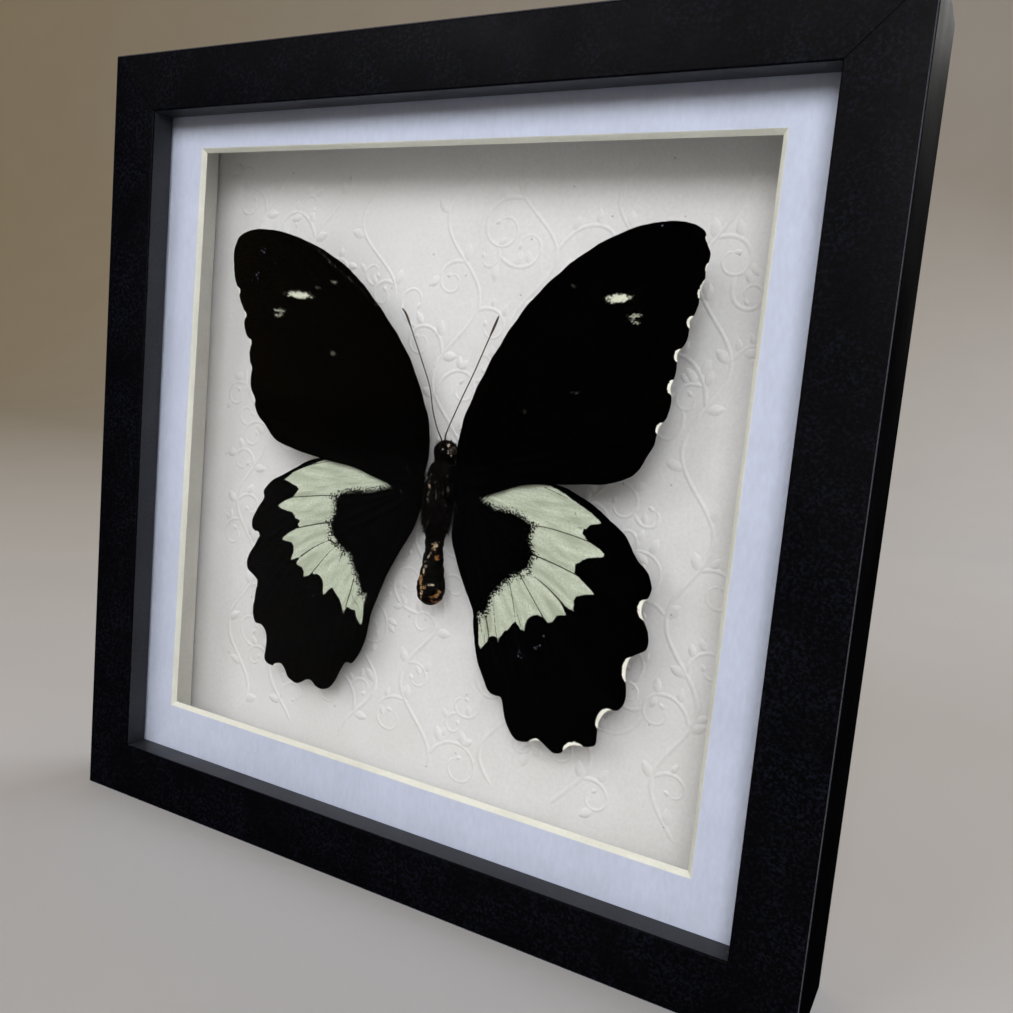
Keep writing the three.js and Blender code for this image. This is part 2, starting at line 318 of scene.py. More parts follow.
def lacquerMaterial(name, tone, wornTone, gloss):
    colour, worn = lacquer[tone], lacquer[wornTone]
    material, tree, shader = newMaterial(name, colour, 0.42, Specular_IOR_Level=lacquer[gloss])
    spot = place(tree)
    cloud = noiseValue(tree, spot, lacquer["cloudPerMm"], 4.0)
    patch = noiseValue(tree, spot, lacquer["patchPerMm"], 3.0, 0.6)
    speck = noiseValue(tree, spot, lacquer["speckPerMm"], 3.0, 0.7)
    specks = remap(tree, speck, 0.46, 0.66, 0, 1)
    rubbed = calc(tree, "MULTIPLY", remap(tree, patch, 0.36, 0.62, 0.25, 1), specks)
    rough = remap(tree, cloud, 0.3, 0.7, *lacquer["roughness"])
    feed(tree, shader, Base_Color=blendColour(tree, rubbed, colour, worn), Roughness=rough)
    grain = noiseValue(tree, spot, 1 / lacquer["grainSize"], 2.0, 0.6)
    addBump(tree, shader, grain, 0.55, lacquer["grainDepth"])
    return material


# Picture pane with a low-glare coat, so its reflections stay faint
glass = {
    "colour": (0.985, 0.995, 0.99),
    "ior": 1.5,
    "coat": (0.004, 0.004, 0.005, 1),
    "wavePerMm": 0.03,
    "waveDepth": 0.05,
}


def glassMaterial():
    material, tree, shader = newMaterial("clearPane", glass["colour"], 0.0, Transmission_Weight=1.0,
                                         IOR=glass["ior"], Specular_Tint=glass["coat"])
    addBump(tree, shader, noiseValue(tree, place(tree), glass["wavePerMm"], 2.0), 0.05, glass["waveDepth"])
    return material


# Card and paper: two tones, the size and depth of the tooth, the pull of the fibres, dark specks
cards = {
    "matWhite": {
        "colour": (0.50, 0.54, 0.68), "shade": (0.47, 0.51, 0.64), "tooth": 0.3, "toothDepth": 0.03,
        "fibre": (1, 1, 0.35),
    },
    "matCore": {"colour": (0.67, 0.67, 0.61), "shade": (0.60, 0.60, 0.54), "tooth": 0.12, "toothDepth": 0.05},
    "spacerCream": {
        "colour": (0.80, 0.79, 0.745), "shade": (0.74, 0.73, 0.68), "tooth": 0.4, "toothDepth": 0.05,
    },
    "paperIvory": {
        "colour": (0.70, 0.70, 0.72), "shade": (0.67, 0.665, 0.675), "tooth": 0.55, "toothDepth": 0.045,
        "specks": 0.55,
    },
}
pulp = {
    "roughness": (0.86, 0.95),
    "cloudPerMm": 0.06,
    "finePerMm": 1.3,
    "fineTone": (0.96, 1.03),
    "speckPerMm": 0.16,
    "speck": (0.12, 0.08, 0.05),
}


def paperMaterial(name, colour, shade, tooth, toothDepth, fibre=(1, 1, 1), specks=0.0):
    material, tree, shader = newMaterial(name, colour, 0.9, Specular_IOR_Level=0.2)
    spot = place(tree)
    stretched = place(tree, fibre)
    cloud = remap(tree, noiseValue(tree, spot, pulp["cloudPerMm"], 3.0), 0.35, 0.65, 0, 1)
    tone = blendColour(tree, cloud, colour, shade)
    fine = noiseValue(tree, stretched, pulp["finePerMm"], 3.0, 0.6)
    fine = remap(tree, fine, 0.35, 0.65, *pulp["fineTone"])
    fineColour = addNode(tree, "CombineColor")
    for channel in ("Red", "Green", "Blue"):
        tree.links.new(fine, fineColour.inputs[channel])
    tone = blendColour(tree, 1.0, tone, fineColour.outputs["Color"], "MULTIPLY")
    if specks:
        grit = cellNoise(tree, spot, pulp["speckPerMm"])
        dot = remap(tree, grit.outputs["Distance"], 0.02, 0.05, specks, 0.0)
        tone = blendColour(tree, dot, tone, pulp["speck"])
    feed(tree, shader, Base_Color=tone, Roughness=remap(tree, cloud, 0, 1, *pulp["roughness"]))
    addBump(tree, shader, noiseValue(tree, stretched, 1 / tooth, 4.0, 0.65), 0.5, toothDepth)
    return material


lacquerBlack = lacquerMaterial("blackLacquer", "colour", "worn", "gloss")
lacquerPaintedSheen = lacquerMaterial("slateEdgePaintedSheen", "edge", "edgeWorn", "edgeGloss")
lacquerPaintedHighlight = lacquerMaterial("arrisPaintedHighlight", "arris", "arrisWorn", "edgeGloss")
paneGlass = glassMaterial()
paper = {name: paperMaterial(name, **card) for name, card in cards.items()}
print("shop materials ready")


# Frame rails: an L section with eased edges, mitred at both ends
railFinish = {
    "frontOuter": 0.7,
    "frontInner": 0.45,
    "back": 0.35,
    "inside": 0.2,
    "mitreEase": 0.05,
    "arrisColumn": 1,
}


def railSection():
    solid = nodePoints("rail_bottom")
    front, lipBack, back = levels(solid[:, 1])
    outer, body, inner = levels(solid[:, 2])
    corners = [(front, outer), (back, outer), (back, body), (lipBack, body), (lipBack, inner), (front, inner)]
    eases = ["frontOuter", "back", "inside", "inside", "inside", "frontInner"]
    return roundCorners(corners, [railFinish[ease] for ease in eases])


def mouldRail(node, quarter):
    section = railSection()
    eased = []
    count = len(section)
    for i, p in enumerate(section):
        along = section[(i + 1) % count] - section[i - 1]
        inward = Vector((-along.y, along.x)).normalized()
        eased.append(p + inward * railFinish["mitreEase"])
    gap = caseHalf - nodePoints("rail_bottom")[:, 0].max()
    rings = []
    for end, points, back in ((-1, eased, 0.0), (-1, section, 1.0), (1, section, 1.0), (1, eased, 0.0)):
        ring = []
        for p in points:
            across = end * (-p.y - gap - back * railFinish["mitreEase"])
            ring.append((across, p.x, p.y))
        rings.append(ring)
    points, faces = loft(rings, caps=True)
    turn = quarter * math.pi / 2
    x, z = points[:, 0].copy(), points[:, 2].copy()
    points[:, 0] = x * math.cos(turn) + z * math.sin(turn)
    points[:, 2] = -x * math.sin(turn) + z * math.cos(turn)
    finishes = [lacquerBlack, lacquerPaintedSheen, lacquerPaintedHighlight]
    rail = makePiece(node + "_lacquered", points, faces, finishes, [node], sharp=40)
    # the lip's inner wall, which faces the middle of the frame, is a lighter slate as painted sheen, and one
    # narrow strip of the front's outer arris is pale as painted highlight
    innermost = max(p.y for p in section)
    wall = [i for i, p in enumerate(section) if innermost - p.y < 0.01]
    sides = count * (len(rings) - 1)
    for polygon in list(rail.data.polygons)[:sides]:
        column = polygon.index % count
        if column in wall and (column + 1) % count in wall:
            polygon.material_index = finishes.index(lacquerPaintedSheen)
        elif column == railFinish["arrisColumn"]:
            polygon.material_index = finishes.index(lacquerPaintedHighlight)


for quarter, node in enumerate(("rail_bottom", "rail_left", "rail_top", "rail_right")):
    mouldRail(node, quarter)
print("rails moulded")

pane = refinish("glass_pane", paneGlass)
pane.visible_shadow = False


# Mat: white card with a bevel-cut window that shows its cream core
matCut = {
    "perSide": 48,
    "waver": 0.05,
    "waverStep": 9,
    "seed": 5,
    "edgeRound": 0.07,
}
# Rings of the mat: shares of the way from its outer edge to the window, then shares of the way
# down the bevel, each with how much it waves there
faceShares = (0.004, 0.5, 0.985)
bevelRows = [(0.09, 0.0), (0.5, 0.35), (0.97, 0.0)]


def squareLoop(corners, perSide):
    loop = []
    for i in range(4):
        a, b = Vector(corners[i]), Vector(corners[(i + 1) % 4])
        for k in range(perSide):
            loop.append(a.lerp(b, k / perSide))
    return loop


def windowCorners(depth):
    solid = nodePoints("mat_board")
    reach = np.abs(solid[:, 0]).max() - 1
    near = [p for p in solid if abs(p[1] - depth) < 0.05 and abs(p[0]) < reach]
    unique = {(round(float(p[0]), 2), round(float(p[2]), 2)) for p in near}
    middle = sum((Vector(p) for p in unique), Vector((0, 0))) / len(unique)
    return sorted(unique, key=lambda p: math.atan2(p[1] - middle.y, p[0] - middle.x))


def cutMat():
    low, high = nodeSpan("mat_board")
    front, back = float(low[1]), float(high[1])
    outer = [(low[0], low[2]), (high[0], low[2]), (high[0], high[2]), (low[0], high[2])]
    perSide = matCut["perSide"]
    windowFront = squareLoop(windowCorners(front), perSide)
    windowBack = squareLoop(windowCorners(back), perSide)
    edge = squareLoop(outer, perSide)
    waver = wander(matCut["seed"], len(edge), matCut["waverStep"])
    ease = matCut["edgeRound"]
    rings = []
    for share, depth in [(0.0, back), (0.0, front + ease)] + [(share, front) for share in faceShares]:
        ring = [e.lerp(w, share) for e, w in zip(edge, windowFront)]
        rings.append([(p.x, depth, p.y) for p in ring])
    faceRings = len(rings)
    # the bevel's front edge is eased outwards, and turns as much as the knife wavered
    sharpEdge = []
    for wf, wb, off in zip(windowFront, windowBack, waver):
        p = wf.lerp(wb, -ease) - (wb - wf).normalized() * (off * matCut["waver"])
        sharpEdge.append((p.x, front, p.y))
    rings.append(sharpEdge)
    for share, extra in bevelRows:
        ring = []
        for wf, wb, off in zip(windowFront, windowBack, waver):
            p = wf.lerp(wb, share) + (wb - wf).normalized() * (off * matCut["waver"] * extra)
            ring.append((p.x, front + (back - front) * share, p.y))
        rings.append(ring)
    rings.append([(p.x, back, p.y) for p in windowBack])
    points, faces = loft(rings, closeEnds=True)
    tones = [paper["matWhite"], paper["matCore"]]
    mat = makePiece("mat_board_cut", points, faces, tones, ["mat_board"], sharp=30)
    for polygon in mat.data.polygons:
        polygon.material_index = 1 if polygon.index // len(edge) >= faceRings else 0


cutMat()


# Spacer strips: card with eased edges that isn't quite flat
spacerCard = {
    "ease": 0.35,
    "steps": 60,
    "ripple": 0.09,
    "rippleStep": 6,
    "seed": 11,
}


def spacerStrip(node, seed):
    low, high = nodeSpan(node)
    upright = high[2] - low[2] > high[0] - low[0]
    along, side = (2, 0) if upright else (0, 2)
    steps = spacerCard["steps"]
    section = barSection(low, high, side, spacerCard["ease"])
    rippleLine = wander(seed, steps + 1, spacerCard["rippleStep"])
    centre = (low[side] + high[side]) / 2
    towards = -math.copysign(1, centre)
    rings = []
    for k in range(steps + 1):
        ring = []
        for p in section:
            inner = (p.x - centre) * towards > 0
            point = [0.0, p.y, 0.0]
            point[along] = low[along] + (high[along] - low[along]) * k / steps
            point[side] = p.x - towards * spacerCard["ripple"] * (1 + rippleLine[k]) * inner
            ring.append(tuple(point))
        rings.append(ring)
    points, faces = loft(rings, caps=True)
    if not upright:
        faces = [f[::-1] for f in faces]
    makePiece(node + "_card", points, faces, [paper["spacerCream"]], [node], sharp=35)


for number, node in enumerate(("spacer_top", "spacer_bottom", "spacer_left", "spacer_right")):
    spacerStrip(node, spacerCard["seed"] + number)
print("mat and spacers cut")


# Background: card faced with paper, and a vine scroll raised on it by a press
backgroundPaper = {
    "pitch": 1.6,
    "buckle": 0.10,
    "foldStart": -72.0,
    "foldFade": 8.0,
    "foldDepth": 0.16,
    "foldPitch": 3.4,
    "foldSway": 1.2,
}


def paperDepth(x, z):
    # how far the paper's face lies from its plane, towards the viewer: two slow waves that
    # cross, and close folds along the left edge
    form = backgroundPaper
    x, z = np.asarray(x, float), np.asarray(z, float)
    slow = np.sin(x * 0.071 + 0.6) * np.sin(z * 0.053 + 1.1) + 0.6 * np.sin(x * 0.033 - z * 0.045)
    fold = smoothstep(form["foldStart"] + form["foldFade"], form["foldStart"], x)
    ridge = np.sin((x + form["foldSway"] * np.sin(z * 0.06)) * 2 * math.pi / form["foldPitch"])
    return form["buckle"] * slow + fold * form["foldDepth"] * ridge * 0.5


def paperBoard():
    low, high = nodeSpan("background_board")
    face = float(low[1]) + backgroundPaper["buckle"] * 1.8 + backgroundPaper["foldDepth"] / 2
    count = int((high[0] - low[0]) / backgroundPaper["pitch"])
    xs = np.linspace(low[0], high[0], count + 1)
    zs = np.linspace(low[2], high[2], count + 1)
    gridX, gridZ = np.meshgrid(xs, zs)
    front = np.stack([gridX, face - paperDepth(gridX, gridZ), gridZ], -1).reshape(-1, 3)
    index = np.arange((count + 1) ** 2).reshape(count + 1, count + 1)
    quads = [index[:-1, :-1], index[:-1, 1:], index[1:, 1:], index[1:, :-1]]
    faces = np.stack(quads, -1).reshape(-1, 4).tolist()
    rim = list(index[0, :-1]) + list(index[:-1, -1]) + list(index[-1, :0:-1]) + list(index[:0:-1, 0])
    back = front[rim].copy()
    back[:, 1] = high[1]
    start = len(front)
    for i in range(len(rim)):
        j = (i + 1) % len(rim)
        faces.append((rim[j], rim[i], start + i, start + j))
    faces.append(tuple(range(start + len(rim) - 1, start - 1, -1)))
    points = np.concatenate([front, back])
    ivory = [paper["paperIvory"]]
    makePiece("background_paper", points, faces, ivory, ["background_board"], sharp=40)
    return face


# Vine scroll: upright stems that sway, with curled tendrils and pointed leaves off each side
vine = {
    "stemHalf": 0.837,
    "stemHeight": 0.27,
    "stemTip": 0.8,
    "stemGap": (10.0, 13.5),
    "tendrilHalf": 0.775,
    "tendrilHeight": 0.25,
    "tendrilTip": 0.65,
    "tendrilLength": (30, 42),
    "firstRadius": (9, 17),
    "lastRadius": (1.9, 2.7),
    "shrinks": (1.0, 0.8, 0.62, 0.46),
    "sink": 0.03,    # the edges lie this far below the paper's face
    "step": 0.55,
    "leafLength": 4.6,
    "leafWidth": 2.7,
    "leafHeight": 0.33,
    "leafGap": 1.3,
    "leafShares": (0.2, 0.42),
    "budLength": 1.9,
    "budWidth": 1.33,
    "sprigTries": 320,
    "sprigSize": (0.5, 0.9),
    "clearance": 1.7,
    "reach": 76.0,
    "seed": 41,
}
# where each main stem starts at the foot, and its sway
stems = [
    {"x": -66, "sway": 4.5, "wave": 36, "phase": 0.4, "lean": 0.02},
    {"x": -47, "sway": 5.5, "wave": 38, "phase": 2.1, "lean": 0.05},
    {"x": -26, "sway": 5.5, "wave": 34, "phase": 4.4, "lean": -0.03},
    {"x": -4, "sway": 5.5, "wave": 39, "phase": 1.2, "lean": 0.03},
    {"x": 18, "sway": 5.5, "wave": 35, "phase": 3.3, "lean": -0.02},
    {"x": 40, "sway": 5.5, "wave": 37, "phase": 5.5, "lean": 0.03},
    {"x": 62, "sway": 4.5, "wave": 38, "phase": 2.6, "lean": -0.02},
]


class VinePlate:
    # collects the raised ribbons and leaves as one mesh

    def __init__(self, face):
        self.face = face
        self.points = []
        self.faces = []
        self.taken = []

    def raised(self, x, z, height):
        return (x, self.face - float(paperDepth(x, z)) - height, z)

    def isFree(self, route, near, skip):
        if not self.taken:
            return True
        there = np.array(self.taken)
        here = np.array([(p.x, p.y) for p in route[skip:]])
        gaps = np.sqrt(((here[:, None] - there[None]) ** 2).sum(-1))
        return bool(gaps.min() > near)

    def claim(self, route):
        self.taken.extend((p.x, p.y) for p in route[::2])

    def ribbon(self, route, half, height, endShare, across=6):
        start = len(self.points)
        count = len(route)
        for i, p in enumerate(route):
            ahead = route[min(i + 1, count - 1)] - route[max(i - 1, 0)]
            aside = Vector((-ahead.y, ahead.x)).normalized()
            t = i / (count - 1)
            size = 1 - (1 - endShare) * t
            size *= min(1.0, 0.25 + i * 0.25, 0.25 + (count - 1 - i) * 0.35)
            for k in range(across + 1):
                s = 2 * k / across - 1
                rise = height * size * math.cos(s * math.pi / 2) ** 2 - vine["sink"]
                q = p + aside * (s * half * size)
                self.points.append(self.raised(q.x, q.y, rise))
        for i in range(count - 1):
            for k in range(across):
                a = start + i * (across + 1) + k
                b = a + across + 1
                self.faces.append((a, b, b + 1, a + 1))

    def leaf(self, base, heading, length, width):
        start = len(self.points)
        rings, spokes = 4, 16
        forward = Vector((math.cos(heading), math.sin(heading)))
        aside = Vector((-forward.y, forward.x))
        middle = base + forward * length * 0.42
        high = vine["leafHeight"] * (0.4 + 0.6 * length / vine["leafLength"])
        self.points.append(self.raised(middle.x, middle.y, high))
        for r in range(1, rings + 1):
            share = r / rings
            rise = high * (1 - share ** 2.4) - vine["sink"] * share
            for k in range(spokes):
                turn = 2 * math.pi * k / spokes
                along = math.cos(turn) * length * 0.5
                pinch = 1 - 0.55 * max(0.0, math.cos(turn)) ** 2
                out = math.sin(turn) * width * 0.5 * pinch
                q = base + forward * (length * 0.5 + (along - length * 0.08) * share) + aside * (out * share)
                self.points.append(self.raised(q.x, q.y, rise))
        for k in range(spokes):
            n = (k + 1) % spokes
            self.faces.append((start, start + 1 + n, start + 1 + k))
            for r in range(rings - 1):
                a = start + 1 + r * spokes
                b = a + spokes
                self.faces.append((a + k, a + n, b + n, b + k))


def curl(start, heading, hand, length, firstRadius, lastRadius):
    # a line whose bend tightens from the first radius to the last
    route = [start]
    count = int(length / vine["step"])
    for i in range(count):
        t = i / count
        radius = firstRadius * (lastRadius / firstRadius) ** t
        heading += hand * vine["step"] / radius
        route.append(route[-1] + Vector((math.cos(heading), math.sin(heading))) * vine["step"])
    return route


def routeHeading(route, i):
    ahead = route[min(i + 1, len(route) - 1)] - route[max(i - 1, 0)]
    return math.atan2(ahead.y, ahead.x)


def tryLeaf(plate, at, heading, size):
    forward = Vector((math.cos(heading), math.sin(heading)))
    base = at + forward * 0.5
    tip = base + forward * vine["leafLength"] * size
    if plate.isFree([base.lerp(tip, 0.45), tip], vine["leafGap"], 0):
        plate.leaf(base, heading, vine["leafLength"] * size, vine["leafWidth"] * size)
        plate.claim([base.lerp(tip, 0.5), tip])


def growTendril(plate, pick, start, heading, hand, largest=1.0):
    # a few sizes are tried, and the first that crosses nothing is kept
    for shrink in vine["shrinks"]:
        size = largest * shrink
        length = pick.uniform(*vine["tendrilLength"]) * size
        first = pick.uniform(*vine["firstRadius"]) * size
        last = pick.uniform(*vine["lastRadius"]) * (0.5 + size / 2)
        route = curl(start, heading, hand, length, first, last)
        inside = all(abs(p.x) < vine["reach"] and abs(p.y) < vine["reach"] + 2 for p in route)
        if inside and plate.isFree(route, vine["clearance"], 5):
            break
    else:
        return None
    plate.ribbon(route, vine["tendrilHalf"], vine["tendrilHeight"], vine["tendrilTip"], across=5)
    plate.claim(route)
    plate.leaf(route[-1], routeHeading(route, len(route) - 1), vine["budLength"], vine["budWidth"])
    # the leaves stand upright, one or two to each arm
    for share in vine["leafShares"]:
        i = int(len(route) * (share + pick.uniform(-0.06, 0.06)))
        upright = math.pi / 2 + pick.uniform(-0.45, 0.6)
        tryLeaf(plate, route[i], upright, pick.uniform(0.75, 1.1) * (0.5 + size / 2))
    return route


def embossVines(face):
    plate = VinePlate(face)
    pick = random.Random(vine["seed"])
    reach = vine["reach"]
    lines = []
    for stem in stems:
        route = []
        z = -reach
        while z < reach:
            sway = stem["sway"] * math.sin(2 * math.pi * (z + reach) / stem["wave"] + stem["phase"])
            route.append(Vector((stem["x"] + sway + stem["lean"] * z, z)))
            z += vine["step"]
        lines.append(route)
        plate.ribbon(route, vine["stemHalf"], vine["stemHeight"], vine["stemTip"])
        plate.claim(route)
    grown = list(lines)
    for number, route in enumerate(lines):
        i = 6 + 5 * (number % 3)
        hand = 1 if number % 2 else -1
        while i < len(route) - 10:
            heading = routeHeading(route, i) - hand * pick.uniform(0.35, 0.6)
            tendril = growTendril(plate, pick, route[i], heading, -hand)
            if tendril:
                grown.append(tendril)
            tryLeaf(plate, route[i], routeHeading(route, i) + hand * pick.uniform(0.6, 0.9), 1.0)
            hand = -hand
            i += int(pick.uniform(*vine["stemGap"]) / vine["step"])
    # shorter sprigs fill the gaps, each from a stem or tendril that is already there
    for _ in range(vine["sprigTries"]):
        route = pick.choice(grown)
        i = int(len(route) * pick.uniform(0.1, 0.7))
        hand = pick.choice((-1, 1))
        heading = routeHeading(route, i) - hand * pick.uniform(0.5, 0.8)
        sprig = growTendril(plate, pick, route[i], heading, -hand, largest=pick.uniform(*vine["sprigSize"]))
        if sprig:
            grown.append(sprig)
        leafHeading = routeHeading(route, i) + hand * pick.uniform(0.6, 1.0)
        tryLeaf(plate, route[i], leafHeading, pick.uniform(0.6, 0.95))
    ivory = [paper["paperIvory"]]
    makePiece("background_vine_relief", plate.points, plate.faces, ivory, ())
    print("vine scroll pressed:", len(grown), "stems and tendrils,", len(plate.faces), "faces")


paperFace = paperBoard()
embossVines(paperFace)


# Insect. Its wings take their outline from the plain wing plates, so they keep their place.
wingSet = {
    "forewing_left": {"side": -1, "root": (-3.7, 15.6, 3.0), "rise": 5.3, "droop": 0.0},
    "forewing_right": {"side": 1, "root": (2.3, 15.6, 3.0), "rise": 5.3, "droop": 0.0},
    "hindwing_left": {"side": -1, "root": (-3.7, 16.4, -1.0), "rise": 4.3, "droop": 1.7},
    "hindwing_right": {"side": 1, "root": (2.3, 16.4, -1.0), "rise": 4.3, "droop": 1.7},
}
wingForm = {
    "pitch": 0.38,
    "thickness": 0.16,
    "veinRise": 0.10,
    "veinWidth": 0.30,
    "pleat": 0.06,
    "pleatFade": 5.0,
    "edgeRagged": 0.05,
    "edgeCurl": 0.16,
    "curlWidth": 2.5,
    "camber": 0.25,
    "camberReach": 70.0,
    "rootFlat": (3.0, 12.0),
    "scaleFade": 1.6,    # how far the band's scales thin out from its inner side
}

# Veins, as start, bend and end, in millimetres out and up from the wing's root
veins = {
    "forewing_right": [
        [(4, 3), (11, 21), (27, 37)], [(4, 0), (19, 15), (33, 29)], [(27, 37), (31.5, 34.5), (33, 29)],
        [(3.2, 5), (9.5, 23), (29, 47.4)], [(15, 25), (29, 43), (42, 54.4)], [(22, 33), (37, 47), (49, 56)],
        [(27, 37), (40, 48), (55, 56)], [(40, 47.5), (51, 51.5), (59, 53.6)],
        [(30.5, 35.6), (45, 44.5), (60, 49.4)], [(32, 32.5), (46, 38.5), (59, 41.2)],
        [(33, 29), (46, 33), (57.8, 34.6)], [(28, 24.8), (43, 27.6), (56, 27.6)],
        [(20, 17), (38, 20.8), (55.6, 20.4)], [(4, -2), (26, 5), (53.2, 12.8)],
        [(5, -4), (26, -0.6), (49.4, 5)],
    ],
    "forewing_left": [
        [(1, 2), (8, 19), (26, 34.5)], [(1, -1), (17, 12), (32, 26.5)], [(26, 34.5), (30.5, 32), (32, 26.5)],
        [(0.2, 4), (6, 20), (24.5, 44.2)], [(12, 22), (25, 40), (37, 50.8)], [(20, 30), (35, 45), (46, 53.4)],
        [(26, 34.5), (40, 45.5), (53, 53.8)], [(40, 45), (51, 50), (59, 51.8)],
        [(30, 33.5), (45, 42), (60.2, 47)], [(31, 30.5), (46, 36), (59, 40)],
        [(32, 26.5), (46, 30.4), (55.6, 31)], [(27, 22.5), (42, 24.4), (53.4, 23)],
        [(19, 14.5), (37, 17), (52.4, 16.4)], [(2, -3), (26, 3), (51, 9.6)], [(3, -5), (26, -2.2), (47, 4.6)],
    ],
    "hindwing_right": [
        [(4, 0), (16, -2.6), (25, -6.2)], [(25, -6.2), (26.5, -12), (25.5, -17.8)],
        [(4, -3), (13, -10), (25.5, -17.8)], [(3, 1), (20, 3.4), (44, -2.8)],
        [(25, -6.2), (40, -7.4), (53.6, -12)], [(26, -13.5), (41, -15.6), (54.8, -26.4)],
        [(25.5, -17.8), (38, -24.5), (50.8, -40)], [(20, -14.8), (31, -27.5), (45, -51)],
        [(14.5, -11.6), (25, -31), (35.1, -57.8)], [(8.6, -7), (19, -33), (26.2, -57.4)],
        [(5, -5), (13.5, -29), (19, -48.4)], [(4, -5), (8, -22), (11.2, -35)],
    ],
    "hindwing_left": [
        [(2, -1), (14, -3.4), (26, -7.4)], [(26, -7.4), (28, -13), (27.4, -18.8)],
        [(2, -4), (14, -11), (27.4, -18.8)], [(1, 0), (18, 2.6), (42, -4)],
        [(26, -7.4), (39, -8.6), (51.2, -17)], [(27.2, -14.4), (40, -17), (52.2, -28.4)],
        [(27.4, -18.8), (39, -26), (49.8, -42)], [(22, -16), (33.5, -29), (45.2, -54)],
        [(16.5, -12.6), (28, -32.5), (35.6, -58.6)], [(10.5, -9), (21.6, -35), (26.8, -58.4)],
        [(6, -6), (16.2, -33), (19.4, -49.6)], [(3, -7), (9.5, -24), (13.4, -37)],
    ],
}

